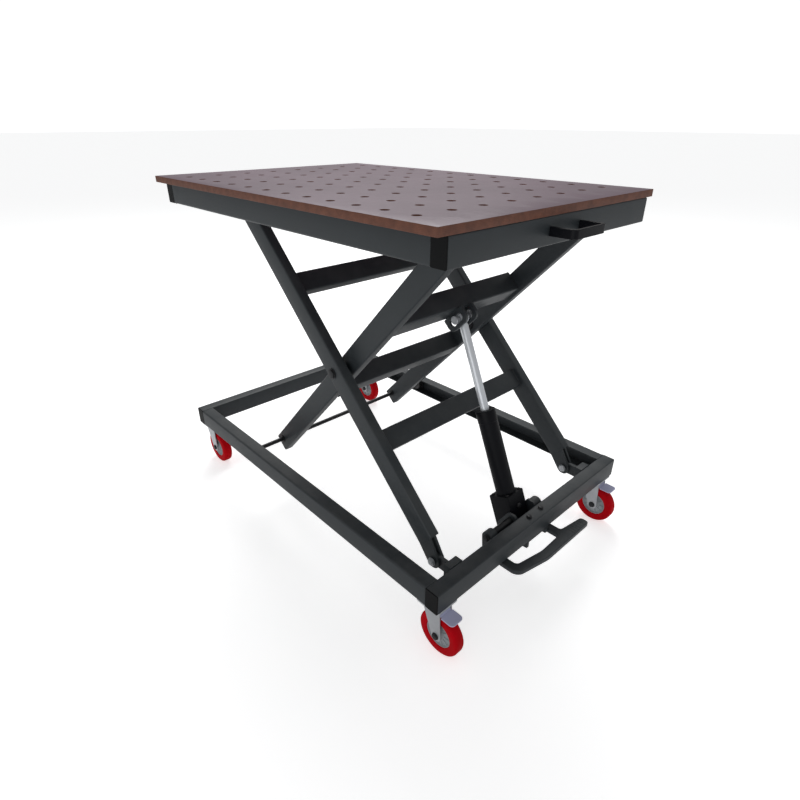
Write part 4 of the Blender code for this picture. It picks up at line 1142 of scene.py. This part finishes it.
# %% Weld beads
def weld(a, b, normal, size=0.0026, pitch=0.0034):
    """A row of overlapping drops from a to b, flattened along normal."""
    bm = bmesh.new()
    a, b = Vector(a), Vector(b)
    count = max(2, round((b - a).length / pitch))
    place = between(a, b, normal).to_3x3().to_4x4()
    squash = Matrix.Diagonal((0.62, 1.0, 1.05, 1.0))
    for k in range(count + 1):
        at = a.lerp(b, k / count)
        wobble = 1.0 + 0.08 * math.sin(k * 2.4) + 0.05 * math.sin(k * 5.1)
        bmesh.ops.create_uvsphere(bm, u_segments=8, v_segments=5, radius=size * wobble,
                                  matrix=Matrix.Translation(at) @ place @ squash)
    return bm


def frame_welds(level, body):
    """Seams where the rails meet the cross members."""
    beads = []
    for end in ENDS:
        cross = f"base_crossbar_{end}" if level == "base" else f"top_beam_{end}"
        c_low, c_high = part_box(cross)
        x = c_low.x if end == "front" else c_high.x
        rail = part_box(f"{level}_rail_far")
        y_in, y_out = (rail[0].y if level == "base" else rail[1].y - 0.040), rail[1].y
        for _, sign in SIDES:
            a, b = sign * (y_in + 0.002), sign * (y_out - 0.005)
            beads.append(weld((x, a, c_low.z), (x, b, c_low.z), (0, 0, 1), 0.0022))
            if level == "base":
                beads.append(weld((x, a, c_high.z), (x, b, c_high.z), (0, 0, 1), 0.0022))
            z0, z1 = c_low.z + 0.006, c_high.z - 0.006
            beads.append(weld((x, sign * (y_out - 0.0016), z0), (x, sign * (y_out - 0.0016), z1),
                              (0, sign, 0), 0.0022))
    return painted(f"weld_seams_{level}", beads, body, (), 0)


frame_welds("base", "base")
frame_welds("top", "top")
for name, (at, s0, s1, n0, n1, half, body) in ladder.items():
    beads = []
    for _, sign in SIDES:
        y = sign * (half - 0.0006)
        for n in (n0, n1):
            a, b = at(s0 + 0.004, n), at(s1 - 0.004, n)
            way = (at(0, 1) - at(0, 0)) * (1 if n == n1 else -1)
            beads.append(weld((a.x, y, a.z), (b.x, y, b.z), way + Vector((0, -sign, 0)), 0.0020))
    painted(f"weld_{name}", beads, body, (), 0)
beads = []
for _, sign in SIDES:
    for y in (0.0165, 0.0245):
        a, b = on_inner(HALF_L + 0.170, -0.0162), on_inner(HALF_L + 0.244, -0.0162)
        beads.append(weld((a.x, sign * y, a.z), (b.x, sign * y, b.z), -in_up, 0.0016, 0.0030))
painted("weld_ears", beads, "inner_arms", (), 0)
beads = []
for _, sign in SIDES:
    for z in (0.1665, 0.2195):
        beads.append(weld((cross_low.x - 0.0006, sign * 0.282, z),
                          (cross_low.x - 0.0006, sign * 0.322, z), (-1, 0, 0), 0.0020))
painted("weld_lugs", beads, "base", (), 0)
print("welds ready")

# %% Bolts and screws
fixings = []
for x, y in ((0.5708, -0.025), (0.5698, 0.031)):
    fixings.append(disc(0.0085, 0.0012, (x, y, cross_high.z), (0, 0, 1)))
    fixings.append(hexagon((x, y, cross_high.z + 0.0011), (0, 0, 1), 0.0120, 0.0048))
    fixings.append(hexagon((x + 0.006, y, cross_low.z - 0.0062), (0, 0, -1), 0.0120, 0.0050))
for y in (-0.090, 0.090):
    fixings.append(hexagon((0.5708, y, cross_low.z), (0, 0, -1), 0.0130, 0.0055))
piece("saddle_bolts", fixings, dark_steel, "base", (), 0.0002)
screws = []
for x in (-0.45, -0.15, 0.15, 0.45):
    for _, sign in SIDES:
        screws.append(turned([(0, 0), (0.0055, 0), (0.0050, 0.0018), (0.0030, 0.0028), (0, 0.0030)],
                             (x, sign * 0.352, top_high.z - 0.0041), (0, 0, -1), 24))
piece("board_screws", screws, zinc, "top", (), 0)
print("fixings ready")

# %% [markdown]
# ## Check and finish
# Every measured node now has a finer piece in its place, and any node still shown is printed.

# %% Nodes still shown
for name, node in frame["nodes"].items():
    if not node.hide_render:
        print("still shown", name)
